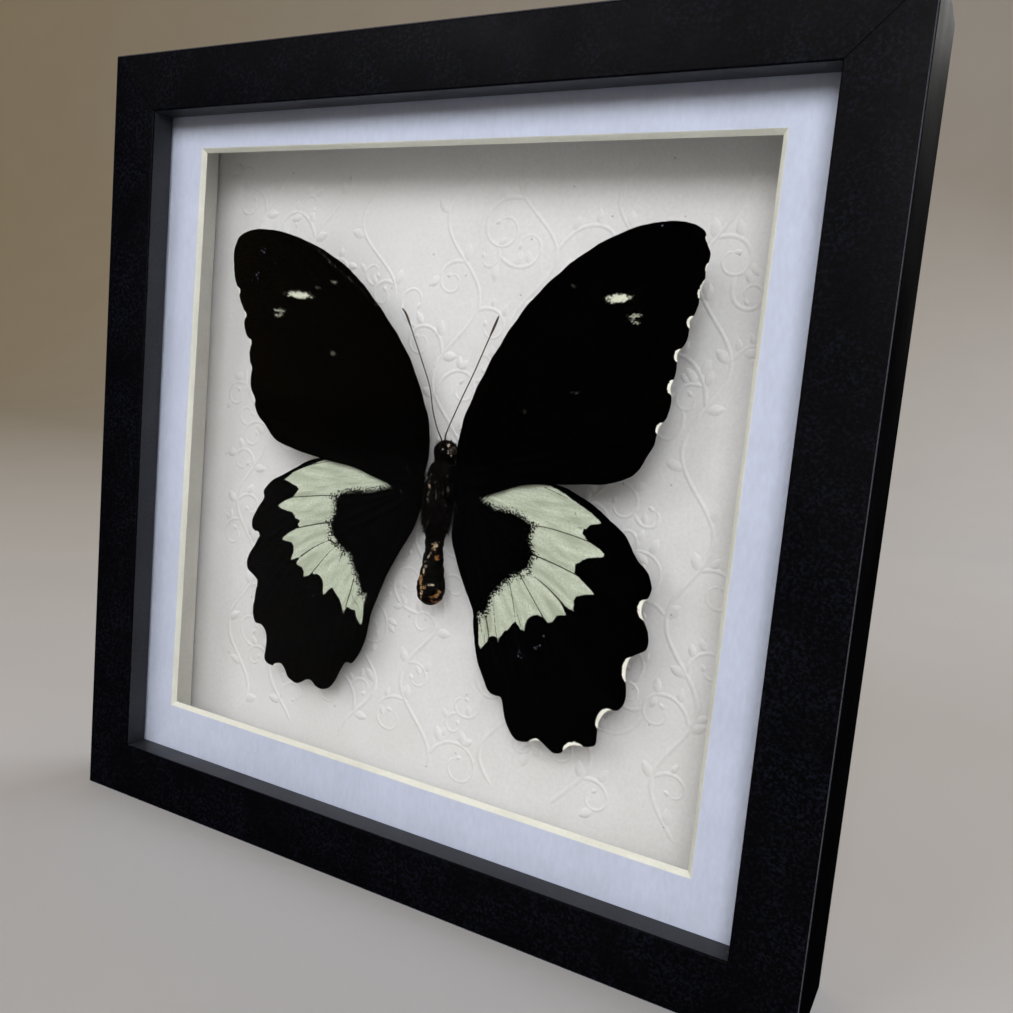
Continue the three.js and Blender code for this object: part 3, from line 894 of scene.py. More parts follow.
# Pale band across each hindwing: its stepped outer side from the pointed inner end, then its
# inner side back to there, where the scales thin out
bands = {
    "hindwing_right": {
        "outer": [
            (10.6, -2.2), (13, -0.9), (17, 0.8), (21, 2.6), (28.3, 3.2), (30.4, 2.6), (33, 1.6), (36, 0.1),
            (38, -0.7), (40, -1.8), (41.5, -2.8), (42, -3.4), (41.2, -3.7), (39.6, -4.1), (38.6, -5),
            (37.8, -5.4), (37.7, -6.2), (38.4, -7), (39.1, -7.7), (40, -8.1), (41.3, -8.7), (42.6, -9.4),
            (43.5, -10), (43.4, -10.6), (41.6, -11.1), (39.8, -11.5), (38.4, -12.2), (37.4, -13),
            (36.5, -13.5), (36.7, -14.4), (36.5, -15.5), (38.8, -17), (40.2, -17.9), (41.2, -18.7),
            (41.8, -19.4), (40.6, -19.7), (39.2, -20), (37.6, -20.7), (37, -21.6), (37.1, -22.8),
            (37.2, -24.2), (36, -23.9), (34.9, -23.4), (33.3, -22.5), (34.2, -23.6), (34.8, -24.4),
            (35.4, -25.6), (34.2, -25.7), (33.2, -26), (32.6, -26.8), (32, -27.7), (31, -28.2),
            (30.2, -27.6), (29.4, -26.9), (28.9, -26.3), (29.1, -27.2), (28, -26.9), (26.8, -27.3),
            (26, -27.9), (25.3, -28.8), (25, -29.8), (24.9, -31.4), (23.7, -31.2), (22.8, -30.2),
            (22.3, -29.7), (21.4, -30.6), (20.8, -31.6), (20.3, -32.2), (19.4, -32.7), (18.8, -33.8),
            (18.2, -34.6), (18, -35.8), (17.7, -34.7), (16.6, -34.4), (15.6, -34.8), (15.1, -35.4),
            (15, -36.1), (14.2, -37), (13.3, -38.4), (12.6, -37.4), (12.4, -36), (12.2, -34),
        ],
        "inner": [
            (12.1, -30.2), (13.5, -30.5), (14.1, -29.8), (14.6, -28.2), (15.1, -26.6), (15.2, -25.2),
            (16, -24.6), (16.8, -23.8), (17.4, -22.9), (18, -22.2), (18.3, -21.4), (19.4, -20.9),
            (20, -20.6), (20.3, -19.7), (21.2, -19.1), (22.6, -18.9), (23.4, -18.7), (24.4, -17.9),
            (25.2, -17.6), (25, -16.4), (25.3, -15), (25.8, -13.7), (26.8, -13.2), (26, -12.8),
            (25.3, -11.6), (24.9, -10.4), (24.7, -9.6), (24.9, -8.6),
            (25.3, -7.8), (25.1, -7), (25.9, -6.4), (24, -5.8), (22.8, -5), (21.4, -4.4), (19.4, -4),
            (17, -3.9), (14.4, -3.8), (13.4, -3.2), (12.2, -2.9),
        ],
    },
    "hindwing_left": {
        "outer": [
            (10.3, -2.5), (12, -1.6), (17, 0.1), (20, 1.3), (23, 2.2), (27.3, 2.4), (28.6, 1.9), (30, 1.4),
            (32.4, 0.4), (34, -0.4), (36, -1.2), (38, -2.2), (39.4, -3.1), (40.6, -4.1), (41.7, -4.9),
            (40.4, -5.3), (38.8, -5.9), (37.6, -6.3), (37.1, -6.9), (37.6, -7.8), (38.6, -9.1), (39.8, -9.8),
            (41.2, -10.4), (42.2, -11.1), (43.3, -12), (42.6, -12.6), (40.6, -13), (38.6, -13.3),
            (38, -14), (37.7, -14.7), (36.1, -14.9), (36.3, -15.5), (36.9, -16.3), (36.2, -16.9),
            (37.6, -17.6), (39, -18.5), (40.2, -19.3), (41.1, -20.2), (41.7, -21.1), (40, -21.1),
            (38.4, -21.3), (37.8, -22.4), (37.8, -23.8), (38.1, -24.8), (38.4, -25.9), (37.2, -25.4),
            (35.9, -24.7), (34.9, -24.1), (35.9, -25.2), (36.5, -26), (36.8, -26.9), (35.8, -27.1),
            (34.9, -27.4), (34.3, -28.3), (34.2, -29.8), (33.3, -29.5), (32.4, -28.9), (31.6, -28.1),
            (31.4, -28.7), (30.2, -28.4), (29.2, -28.7), (28.5, -29.5), (28, -30.8), (28, -32),
            (27.9, -33.6), (27.2, -33.1), (26.4, -32), (25.2, -31.1), (24.6, -31.9), (24, -32.6),
            (23.2, -33.4), (22.6, -34.4), (22.1, -35.4), (21.8, -36.4), (21.5, -37.5), (21, -36.4),
            (20.8, -35.7), (20, -35.5), (19, -36), (18, -35.9), (17.7, -36.8), (17.3, -37.8),
            (16.8, -38.8), (16, -39.5), (15.6, -38.4), (15.6, -36), (15.5, -34),
        ],
        "inner": [
            (15.3, -31.6), (16.2, -31.8), (17, -31.8), (17.1, -30.6), (17.4, -29.3), (18.2, -28.2),
            (18.3, -27.2), (19, -26.2), (19.4, -25), (20.1, -24), (20.4, -22.9), (20.9, -21.8),
            (22.2, -21.6), (22.7, -22.1), (22.9, -20.9), (23.9, -20.2), (25, -20.1), (25.8, -19.4),
            (26.8, -18.9), (26.8, -17), (27.1, -15.4), (27.4, -14.6), (28.2, -14.3), (27.4, -13.9),
            (26.4, -13), (26, -11.9), (25.8, -10.6), (26.1, -9.4), (26, -8.3), (27.2, -7.4), (25.4, -7),
            (24.2, -6.1), (22.8, -5.4), (21.6, -5), (19.6, -4.6), (17.4, -4.5), (15, -4.1), (13, -3.5),
            (11.8, -3),
        ],
    },
}
# Dark lines where the veins cross a band: start, bend, end, then half width at start and end
bandCuts = {
    "hindwing_right": [
        ((25.2, -6.5), (31, -6.6), (39.6, -7.9), 0.10, 0.12),
        ((25.6, -13.2), (31, -14.3), (37.2, -15.9), 0.16, 0.14),
        ((25.3, -17.7), (30, -20.1), (34.4, -23.2), 0.06, 0.24),
        ((22.8, -18.9), (26, -22.9), (29.3, -26.9), 0.10, 0.12),
        ((19.6, -20.6), (20.7, -23.4), (22.3, -29.8), 0.12, 0.02),
        ((22.4, -27.4), (23.1, -28.9), (23.7, -30.4), 0.02, 0.08),
        ((15.8, -26.5), (16.6, -31), (17.4, -34.4), 0.01, 0.07),
        ((14, -30.2), (14.8, -32.6), (15.4, -35), 0.16, 0.12),
        ((12.4, -31), (12.7, -32.4), (13.2, -34.4), 0.10, 0.02),
        ((27.2, 2.6), (30, 1.9), (33.4, 0.9), 0.07, 0.05),
        ((14, -34.6), (14, -35.6), (14.2, -36.6), 0.03, 0.07),
        ((22.3, -18.9), (23.8, -18.2), (25.2, -17.5), 0.14, 0.14),
    ],
    "hindwing_left": [
        ((26.2, -7.3), (30, -7.7), (39, -9.3), 0.13, 0.10),
        ((27, -14.3), (31, -15.3), (37, -17.2), 0.18, 0.14),
        ((26.8, -19), (31, -21.2), (35.4, -24.5), 0.04, 0.20),
        ((25, -20.3), (28, -23.6), (31.8, -28.5), 0.04, 0.13),
        ((22.7, -22), (23.2, -23.2), (23.6, -24.4), 0.12, 0.02),
        ((18.8, -27.8), (19.7, -31.4), (20.9, -35.7), 0.14, 0.10),
        ((27, 1.7), (29.6, 1), (32.8, 0.1), 0.05, 0.09),
        ((24.4, -20.2), (25.8, -19.4), (26.9, -18.8), 0.14, 0.14),
        ((17.6, -34.2), (18.6, -33.2), (19.2, -31.8), 0.05, 0.02),
        ((16.6, -35.4), (17.2, -34.6), (18, -34), 0.02, 0.05),
    ],
}
# Small dark stains on the bands: middle, half length, half width, lean, strength
stains = {
    "hindwing_right": [
        {"at": (35.6, -2.1), "size": (0.42, 0.24), "lean": -60, "pale": 1.0},
        {"at": (36.1, -3.5), "size": (0.55, 0.2), "lean": -60, "pale": 0.8},
        {"at": (37, -5.2), "size": (0.8, 0.2), "lean": 8, "pale": 0.8},
        {"at": (34, -4.2), "size": (0.45, 0.2), "lean": -30, "pale": 0.6},
        {"at": (34.5, -2.9), "size": (3.4, 1.1), "lean": -25, "pale": 0.16},
        {"at": (14.9, -31), "size": (3.4, 0.9), "lean": -80, "pale": 0.34},
    ],
    "hindwing_left": [
        {"at": (17.8, -32.4), "size": (2.6, 0.8), "lean": -60, "pale": 0.26},
        {"at": (31, -10.1), "size": (0.35, 0.18), "lean": 20, "pale": 0.4},
    ],
}

# Pale spots near the tips of the forewings: middle, half length, half width, lean, cream or grey
spots = {
    "forewing_right": [
        {"at": (41.3, 40.8), "size": (2.7, 0.95), "lean": 4, "pale": 1.0},
        {"at": (45.6, 37.3), "size": (1.5, 0.42), "lean": 10, "pale": 0.5},
        {"at": (45.9, 36.0), "size": (1.1, 0.35), "lean": -14, "pale": 0.42},
        {"at": (30.2, 43.1), "size": (0.4, 0.3), "lean": 0, "pale": 0.12},
        {"at": (33.4, 20.3), "size": (0.5, 0.2), "lean": 0, "pale": 0.08},
        {"at": (20.6, 15.0), "size": (0.5, 0.3), "lean": 0, "pale": 0.07},
    ],
    "forewing_left": [
        {"at": (39.6, 38.5), "size": (3.4, 0.9), "lean": 3, "pale": 1.0},
        {"at": (45.2, 34.4), "size": (1.3, 0.42), "lean": 6, "pale": 0.55},
        {"at": (45.4, 33.1), "size": (1.3, 0.4), "lean": -10, "pale": 0.5},
        {"at": (29.4, 42.2), "size": (0.8, 0.4), "lean": 12, "pale": 0.3},
        {"at": (34.2, 40.6), "size": (0.4, 0.15), "lean": 0, "pale": 0.35},
        {"at": (29.4, 46.0), "size": (1.4, 0.04), "lean": 34, "pale": 0.2},
        {"at": (28.2, 24.5), "size": (0.9, 0.5), "lean": 20, "pale": 0.10},
        {"at": (16.6, 37.4), "size": (0.4, 0.3), "lean": 0, "pale": 0.25},
    ],
    "hindwing_right": [{"at": (23.6, -17.7), "size": (1.5, 0.6), "lean": 38, "pale": 0.75}],
    "hindwing_left": [{"at": (25.5, -18.5), "size": (1.4, 0.7), "lean": 42, "pale": 0.75}],
}
# Stray bluish scales: middle and reach
dust = {
    "forewing_right": [(49, 55, 1.2)],
    "forewing_left": [(51, 50, 1.6), (53, 43, 1.8), (47, 46, 1.4), (51, 38.5, 1.2)],
    "hindwing_right": [(29.8, -31.4, 1.4), (29, -34.5, 2.2), (24.7, -37, 1.6), (24.6, -31.9, 0.5)],
    "hindwing_left": [(32.8, -32.2, 1.5), (31, -35.4, 1.8), (27, -36.8, 1.2), (23.4, -39.9, 1.2)],
}
# White crescents in the notches of the right wings: middle, half length, depth
lunules = {
    "forewing_right": [
        (59.6, 44.2, 1.0, 0.3), (59.0, 42.3, 1.1, 0.45), (57.9, 36.6, 1.4, 0.7), (56.0, 29.8, 1.5, 0.75),
        (55.2, 23.2, 1.7, 0.75), (53.8, 14.6, 1.4, 0.7), (60.2, 47.4, 0.9, 0.3), (59.5, 53.0, 0.7, 0.25),
    ],
    "forewing_left": [(58.4, 38.9, 1.1, 0.4), (56.0, 32.8, 1.2, 0.4), (53.8, 25.7, 1.2, 0.45)],
    "hindwing_right": [
        (53.4, -20.4, 2.5, 0.95), (51.0, -34.2, 3.2, 0.95), (46.4, -46.6, 3.3, 0.95), (39.6, -55.2, 2.9, 0.8),
        (29.9, -57.0, 1.6, 0.5),
    ],
    "hindwing_left": [(49.3, -20.6, 1.2, 0.35), (49.6, -34.0, 1.6, 0.35), (41.6, -55.2, 1.8, 0.35)],
}


def wingPlace(spec):
    turn = Matrix.Rotation(-spec["side"] * math.radians(spec["rise"]), 3, "Z")
    return np.array(turn @ Matrix.Rotation(math.radians(spec["droop"]), 3, "X")), np.array(spec["root"])


def closedCurve(points, parts):
    p = np.asarray(points, float)
    before, after, beyond = np.roll(p, 1, 0), np.roll(p, -1, 0), np.roll(p, -2, 0)
    rows = [bendThrough(before, p, after, beyond, k / parts) for k in range(parts)]
    return np.stack(rows, 1).reshape(-1, p.shape[1])


def openCurve(points, parts):
    p = np.asarray(points, float)
    p = np.concatenate([2 * p[:1] - p[1:2], p, 2 * p[-1:] - p[-2:-1]])
    rows = []
    for i in range(1, len(p) - 2):
        rows += [bendThrough(*p[i - 1:i + 3], k / parts) for k in range(parts)]
    rows.append(p[-2])
    return np.array(rows)


def evenSteps(points, pitch, closed=True):
    p = np.asarray(points, float)
    if closed:
        p = np.concatenate([p, p[:1]])
    run = np.concatenate([[0], np.cumsum(np.linalg.norm(np.diff(p, axis=0), axis=1))])
    count = max(2, int(run[-1] / pitch))
    at = np.linspace(0, run[-1], count + 1)[: count if closed else None]
    return np.stack([np.interp(at, run, p[:, k]) for k in range(p.shape[1])], -1)


def bendLine(a, b, c, pitch=0.4):
    # a curve that leaves a, passes b half way and ends at c
    a, b, c = (np.array(q, float) for q in (a, b, c))
    pull = 2 * b - (a + c) / 2
    t = np.linspace(0, 1, 40)[:, None]
    return evenSteps((1 - t) ** 2 * a + 2 * t * (1 - t) * pull + t ** 2 * c, pitch, closed=False)


def lineDistance(points, lines):
    # distance from each point to the nearest of the lines
    a = np.concatenate([line[:-1] for line in lines])
    b = np.concatenate([line[1:] for line in lines])
    best = np.empty(len(points))
    run = b - a
    size = np.maximum((run ** 2).sum(1), 1e-9)
    for i in range(0, len(points), 2000):
        p = points[i:i + 2000, None]
        t = np.clip(((p - a) * run).sum(2) / size, 0, 1)
        best[i:i + 2000] = np.sqrt(((p - a - run * t[..., None]) ** 2).sum(2)).min(1)
    return best


def insideOf(points, polygon):
    x, y = points[:, 0], points[:, 1]
    within = np.zeros(len(points), bool)
    for (x1, y1), (x2, y2) in zip(polygon, np.roll(polygon, -1, 0)):
        if y1 != y2:
            crosses = (y1 > y) != (y2 > y)
            within ^= crosses & (x < (x2 - x1) * (y - y1) / (y2 - y1) + x1)
    return within


def wingOutline(node, spec):
    turn, root = wingPlace(spec)
    local = (nodePoints(node) - root) @ turn
    flat = [(round(float(p[0]) * spec["side"], 2), round(float(p[2]), 2)) for p in local]
    seen = {}
    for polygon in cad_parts[node].data.polygons:
        corners = list(polygon.vertices)
        if max(local[c][1] for c in corners) < 0:
            for a, b in zip(corners, corners[1:] + corners[:1]):
                key = frozenset((flat[a], flat[b]))
                seen[key] = seen.get(key, 0) + 1
    follow = {}
    for key, count in seen.items():
        if count == 1 and len(key) == 2:
            a, b = key
            follow.setdefault(a, []).append(b)
            follow.setdefault(b, []).append(a)
    start = min(follow)
    loop = [start, follow[start][0]]
    while True:
        onward = [p for p in follow[loop[-1]] if p != loop[-2]]
        if not onward or onward[0] == start:
            break
        loop.append(onward[0])
    loop = np.array(loop)
    area = (loop[:, 0] * np.roll(loop[:, 1], -1) - np.roll(loop[:, 0], -1) * loop[:, 1]).sum()
    return loop if area > 0 else loop[::-1]


def fillOutline(outline, lines, pitch):
    # small triangles inside the outline, with points on the outline and on each line
    low, high = outline.min(0), outline.max(0)
    rows = np.arange(low[1], high[1], pitch * 0.866)
    grid = []
    for r, y in enumerate(rows):
        xs = np.arange(low[0] + (r % 2) * pitch / 2, high[0], pitch)
        grid.append(np.stack([xs, np.full(len(xs), y)], -1))
    grid = np.concatenate(grid)
    grid = grid[insideOf(grid, outline)]
    edge = np.concatenate([outline, outline[:1]])
    grid = grid[lineDistance(grid, [edge]) > pitch * 0.6]
    along = np.concatenate(lines)
    along = along[insideOf(along, outline)]
    along = along[lineDistance(along, [edge]) > pitch * 0.5]
    grid = grid[lineDistance(grid, lines) > pitch * 0.5]
    points = np.concatenate([outline, along, grid])
    count = len(outline)
    ring = [(i, (i + 1) % count) for i in range(count)]
    made = geometry.delaunay_2d_cdt([Vector(p) for p in points], ring, [], 1, 1e-4)
    return np.array([tuple(p) for p in made[0]]), np.array(made[2])


farOutside = -9.0    # stands for no shape near


def shapedValue(points, shapes):
    # how far inside the nearest ellipse each point lies, in millimetres, and how pale that one is
    best = np.full(len(points), farOutside)
    pale = np.zeros(len(points))
    for shape in shapes:
        lean = math.radians(shape["lean"])
        q = points - np.array(shape["at"])
        along = q[:, 0] * math.cos(lean) + q[:, 1] * math.sin(lean)
        aside = -q[:, 0] * math.sin(lean) + q[:, 1] * math.cos(lean)
        long, wide = shape["size"]
        value = (1 - np.sqrt((along / long) ** 2 + (aside / wide) ** 2)) * wide
        nearer = value > best
        best[nearer] = value[nearer]
        pale[nearer] = shape["pale"]
    return best, pale


def bandShape(name):
    return evenSteps(bands[name]["outer"] + bands[name]["inner"], wingForm["pitch"] * 0.8)


def wingMarks(name, points, outline, veinLines):
    # everything the wing's relief and material read, in millimetres
    edge = np.concatenate([outline, outline[:1]])
    margin = lineDistance(points, [edge])
    marks = {"veinMm": lineDistance(points, veinLines), "marginMm": margin}
    band = np.full(len(points), farOutside)
    thin = np.zeros(len(points))
    cut = np.full(len(points), farOutside)
    if name in bands:
        shape = bandShape(name)
        ring = np.concatenate([shape, shape[:1]])
        band = np.where(insideOf(points, shape), 1, -1) * lineDistance(points, [ring])
        inner = np.array(bands[name]["inner"] + bands[name]["outer"][:1])
        thin = np.exp(-(lineDistance(points, [inner]) / wingForm["scaleFade"]) ** 2)
        for start, bend, end, first, last in bandCuts[name]:
            line = bendLine(start, bend, end)
            steps = np.linspace(first, last, len(line))
            nearest = ((points[:, None] - line[None]) ** 2).sum(-1).argmin(1)
            cut = np.maximum(cut, steps[nearest] - lineDistance(points, [line]))
    marks["bandMm"] = band
    marks["thin"] = thin
    marks["cutMm"] = cut
    stain, strength = shapedValue(points, stains.get(name, []))
    marks["stain"] = smoothstep(-0.12, 0.22, stain) * strength
    marks["spotMm"], marks["spotPale"] = shapedValue(points, spots[name])
    crescent = np.full(len(points), farOutside)
    for u, v, reach, depth in lunules[name]:
        away = np.linalg.norm(points - np.array([u, v]), axis=1)
        crescent = np.maximum(crescent, depth * (1 - (away / reach) ** 4) - margin)
    marks["crescentMm"] = crescent
    haze = np.zeros(len(points))
    for u, v, reach in dust[name]:
        haze = np.maximum(haze, np.exp(-((points - np.array([u, v])) ** 2).sum(1) / reach ** 2))
    marks["haze"] = haze
    return marks


def wingRelief(points, marks):
    veinGap, margin = marks["veinMm"], marks["marginMm"]
    form = wingForm
    ridge = form["veinRise"] * np.exp(-(veinGap / form["veinWidth"]) ** 2)
    pleat = form["pleat"] * np.cos(veinGap * 2.3) * np.exp(-veinGap / form["pleatFade"])
    wave = np.sin(points[:, 0] * 0.5 + points[:, 1] * 0.7)
    curl = -form["edgeCurl"] * np.clip(1 - margin / form["curlWidth"], 0, 1) ** 2 * wave
    reach = np.linalg.norm(points, axis=1)
    camber = form["camber"] * np.sin(np.clip(reach / form["camberReach"], 0, 1) * math.pi)
    return (ridge + pleat + curl + camber) * smoothstep(*form["rootFlat"], reach)


def buildWing(name, material):
    spec = wingSet[name]
    pitch = wingForm["pitch"]
    outline = evenSteps(closedCurve(wingOutline(name, spec), 4), pitch)
    # the outline's own length seeds its raggedness
    ragged = np.array(wander(len(outline), len(outline), 2)) * wingForm["edgeRagged"]
    away = np.roll(outline, -1, 0) - np.roll(outline, 1, 0)
    away = np.stack([away[:, 1], -away[:, 0]], -1) / np.linalg.norm(away, axis=1)[:, None]
    outline = outline + away * ragged[:, None]
    veinLines = [bendLine(*line) for line in veins[name]]
    traced = list(veinLines)
    if name in bands:
        traced += [bendLine(*cut[:3]) for cut in bandCuts[name]]
        traced.append(bandShape(name))
    points, triangles = fillOutline(outline, traced, pitch)
    marks = wingMarks(name, points, outline, veinLines)
    relief = wingRelief(points, marks)
    half = wingForm["thickness"] / 2
    side = spec["side"]
    turn, root = wingPlace(spec)
    sheets = []
    for offset in (-half, half):
        local = np.stack([points[:, 0] * side, offset - relief, points[:, 1]], -1)
        sheets.append(local @ turn.T + root)
    count = len(points)
    front = triangles if side > 0 else triangles[:, ::-1]
    back = triangles[:, ::-1] + count if side > 0 else triangles + count
    edges = {}
    for a, b, c in front.tolist():
        edges.update(dict.fromkeys(((a, b), (b, c), (c, a))))
    rim = [(b, a, a + count, b + count) for a, b in edges if (b, a) not in edges]
    faces = front.tolist() + back.tolist() + rim
    sheets = np.concatenate(sheets)
    wing = makePiece(name + "_membrane", sheets, faces, [material], [name], sharp=50)
    for key, value in marks.items():
        addField(wing, key, np.tile(value, 2))
    # two ways to lay a grain: along the rays from the root, and flat across the wing
    u, v, none = points[:, 0], points[:, 1], np.zeros(count)
    ray, turn = np.hypot(u, v) * scales["rayStretch"], np.arctan2(v, u) * scales["raySpread"]
    addField(wing, "fan", np.tile(np.stack([ray, turn, none], -1), (2, 1)))
    addField(wing, "flat", np.tile(np.stack([u, v, none], -1), (2, 1)))
    print(name, "filled:", len(faces), "faces")


scales = {
    "velvet": (0.0004, 0.0004, 0.0005),
    "velvetWarm": (0.0011, 0.0009, 0.0008),
    "band": (0.52, 0.575, 0.475),
    # painted shade in the folds, and also the darker mottling of the scales
    "bandPaintedShadeAndMottle": (0.32, 0.355, 0.275),
    # painted highlight on the folds
    "bandPaintedFoldHighlight": (0.66, 0.71, 0.61),
    "bandLine": (0.035, 0.036, 0.020),
    "bandStain": (0.10, 0.09, 0.035),
    "spot": (0.60, 0.63, 0.52),
    "crescent": (0.80, 0.79, 0.72),
    "stray": (0.16, 0.17, 0.25),
    "strayPitch": 1.25,
    "straySize": (0.10, 0.30),
    "rayStretch": 0.25,
    "raySpread": 38,
    "bandFray": (1.0, 2.0),    # where the scales are close, and how much more where they thin out
    "bandScatter": 7.5,
    "bandSpikes": 1.4,
    "cutFray": 0.35,
    "spotFeather": 1.8,
    "spotFray": 1.3,
    "crescentFray": 0.8,
}
# Noises on the wings: along the rays or flat, how many to a millimetre, detail and roughness
wingNoises = {
    "fold": ("fan", 0.42, 2.0, 0.5),
    "streak": ("fan", 1.0, 4.0, 0.6),
    "fringe": ("fan", 1.7, 2.0, 0.7),
    "fineStreak": ("fan", 2.6, 3.0, 0.6),
    "cloud": ("flat", 0.16, 3.0, 0.5),
    "frayed": ("flat", 1.7, 3.0, 0.8),
    "dots": ("flat", 2.3, 1.0, 0.6),
    "grain": ("flat", 3.2, 3.0, 0.65),
}
# Touches on the band, one over another: noise, where it starts and is full, strength, tone. The two fold
# touches paint shade and highlight along the folds; the others mottle the scales.
bandTouches = [
    ("fold", 0.50, 0.66, 0.7, "bandPaintedShadeAndMottle"),
    ("fold", 0.46, 0.32, 0.7, "bandPaintedFoldHighlight"),
    ("streak", 0.45, 0.72, 0.35, "bandPaintedShadeAndMottle"),
    ("frayed", 0.48, 0.62, 0.5, "bandPaintedShadeAndMottle"),
    ("grain", 0.46, 0.64, 0.55, "bandPaintedShadeAndMottle"),
    ("dots", 0.52, 0.72, 0.5, "bandPaintedShadeAndMottle"),
]


def strayScales(tree, noise, ground):
    # a few bright specks, each in a cell of its own
    cells = cellNoise(tree, attribute(tree, "flat", "Vector"), scales["strayPitch"])
    draw = addNode(tree, "SeparateColor")
    tree.links.new(cells.outputs["Color"], draw.inputs["Color"])
    size = remap(tree, draw.outputs["Green"], 0, 1, *scales["straySize"])
    speck = remap(tree, calc(tree, "SUBTRACT", cells.outputs["Distance"], size), -0.04, 0.06, 1, 0)
    chosen = calc(tree, "ADD", attribute(tree, "haze"), calc(tree, "MULTIPLY", draw.outputs["Red"], 0.8))
    mask = calc(tree, "MULTIPLY", speck, remap(tree, chosen, 1.0, 1.25, 0, 1))
    mask = calc(tree, "MULTIPLY", mask, remap(tree, noise["frayed"], 0.42, 0.56, 0.1, 1))
    return blendColour(tree, mask, ground, scales["stray"])


def paleBand(tree, noise, ground):
    # crisp at its points, frayed where the scales thin out
    thin = attribute(tree, "thin")
    close, more = scales["bandFray"]
    ragged = swing(tree, noise["frayed"], 0.5, calc(tree, "ADD", calc(tree, "MULTIPLY", thin, more), close))
    scatter = swing(tree, noise["dots"], 0.5, calc(tree, "MULTIPLY", thin, scales["bandScatter"]))
    spikes = swing(tree, noise["fringe"], 0.5, calc(tree, "MULTIPLY", thin, scales["bandSpikes"]))
    edge = attribute(tree, "bandMm")
    for shift in (ragged, scatter, spikes):
        edge = calc(tree, "ADD", edge, shift)
    tone = scales["band"]
    for name, low, high, most, over in bandTouches:
        tone = tint(tree, noise[name], low, high, most, tone, scales[over])
    stained = calc(tree, "MULTIPLY", attribute(tree, "stain"),
                   remap(tree, noise["frayed"], 0.35, 0.6, 1.3, 0.5))
    tone = blendColour(tree, stained, tone, scales["bandStain"])
    cut = calc(tree, "ADD", attribute(tree, "cutMm"), swing(tree, noise["frayed"], 0.5, scales["cutFray"]))
    tone = blendColour(tree, remap(tree, cut, -0.09, 0.06, 0, 0.94, smooth=True), tone, scales["bandLine"])
    return blendColour(tree, remap(tree, edge, -0.05, 0.07, 0, 1, smooth=True), ground, tone)


def spotsAndCrescents(tree, noise, colour):
    feather = swing(tree, noise["fineStreak"], 0.5, scales["spotFeather"])
    feather = calc(tree, "ADD", feather, swing(tree, noise["dots"], 0.5, scales["spotFray"]))
    spot = remap(tree, calc(tree, "ADD", attribute(tree, "spotMm"), feather), -0.1, 0.35, 0, 1, smooth=True)
    spot = calc(tree, "MULTIPLY", spot, attribute(tree, "spotPale"))
    colour = blendColour(tree, spot, colour, scales["spot"])
    chipped = swing(tree, noise["dots"], 0.5, scales["crescentFray"])
    crescent = calc(tree, "ADD", attribute(tree, "crescentMm"), chipped)
    crescent = remap(tree, crescent, 0.0, 0.14, 0, 1, smooth=True)
    return blendColour(tree, crescent, colour, scales["crescent"])


def wingMaterial():
    material, tree, shader = newMaterial("wingScales", scales["velvet"], 0.85, Specular_IOR_Level=0.0)
    noise = {}
    for name, (field, perMm, detail, roughness) in wingNoises.items():
        noise[name] = noiseValue(tree, attribute(tree, field, "Vector"), perMm, detail, roughness)
    colour = tint(tree, noise["cloud"], 0.45, 0.72, 0.8, scales["velvet"], scales["velvetWarm"])
    for layer in (strayScales, paleBand, spotsAndCrescents):
        colour = layer(tree, noise, colour)
    feed(tree, shader, Base_Color=colour, Roughness=remap(tree, noise["grain"], 0.3, 0.7, 0.74, 0.95))
    relief = addBump(tree, None, noise["fold"], 0.4, 0.5)
    rows = calc(tree, "ADD", noise["grain"], calc(tree, "MULTIPLY", noise["fineStreak"], 0.6))
    addBump(tree, shader, rows, 0.35, 0.06, under=relief)
    return material


wingScales = wingMaterial()
for name in wingSet:
    buildWing(name, wingScales)


# Body: head, thorax and abdomen in one skin, with its profile taken from the plain solid
bodyForm = {
    "pitch": 0.22,
    "spokes": 56,
    "abdomenTop": -12.4,
    "segment": 2.35,
    "groove": 0.10,
    "grooveWidth": 0.24,
    "overlap": 0.05,
    "dent": 0.10,
    "dentsPerMm": 1.1,
    "flatten": 0.93,
    "neck": 3.6,
    "swell": 0.16,
    "swellsPerMm": 0.7,
    "crease": 0.35,
    "creaseWidth": 0.16,
    "wrap": (0.52, 0.14),
}
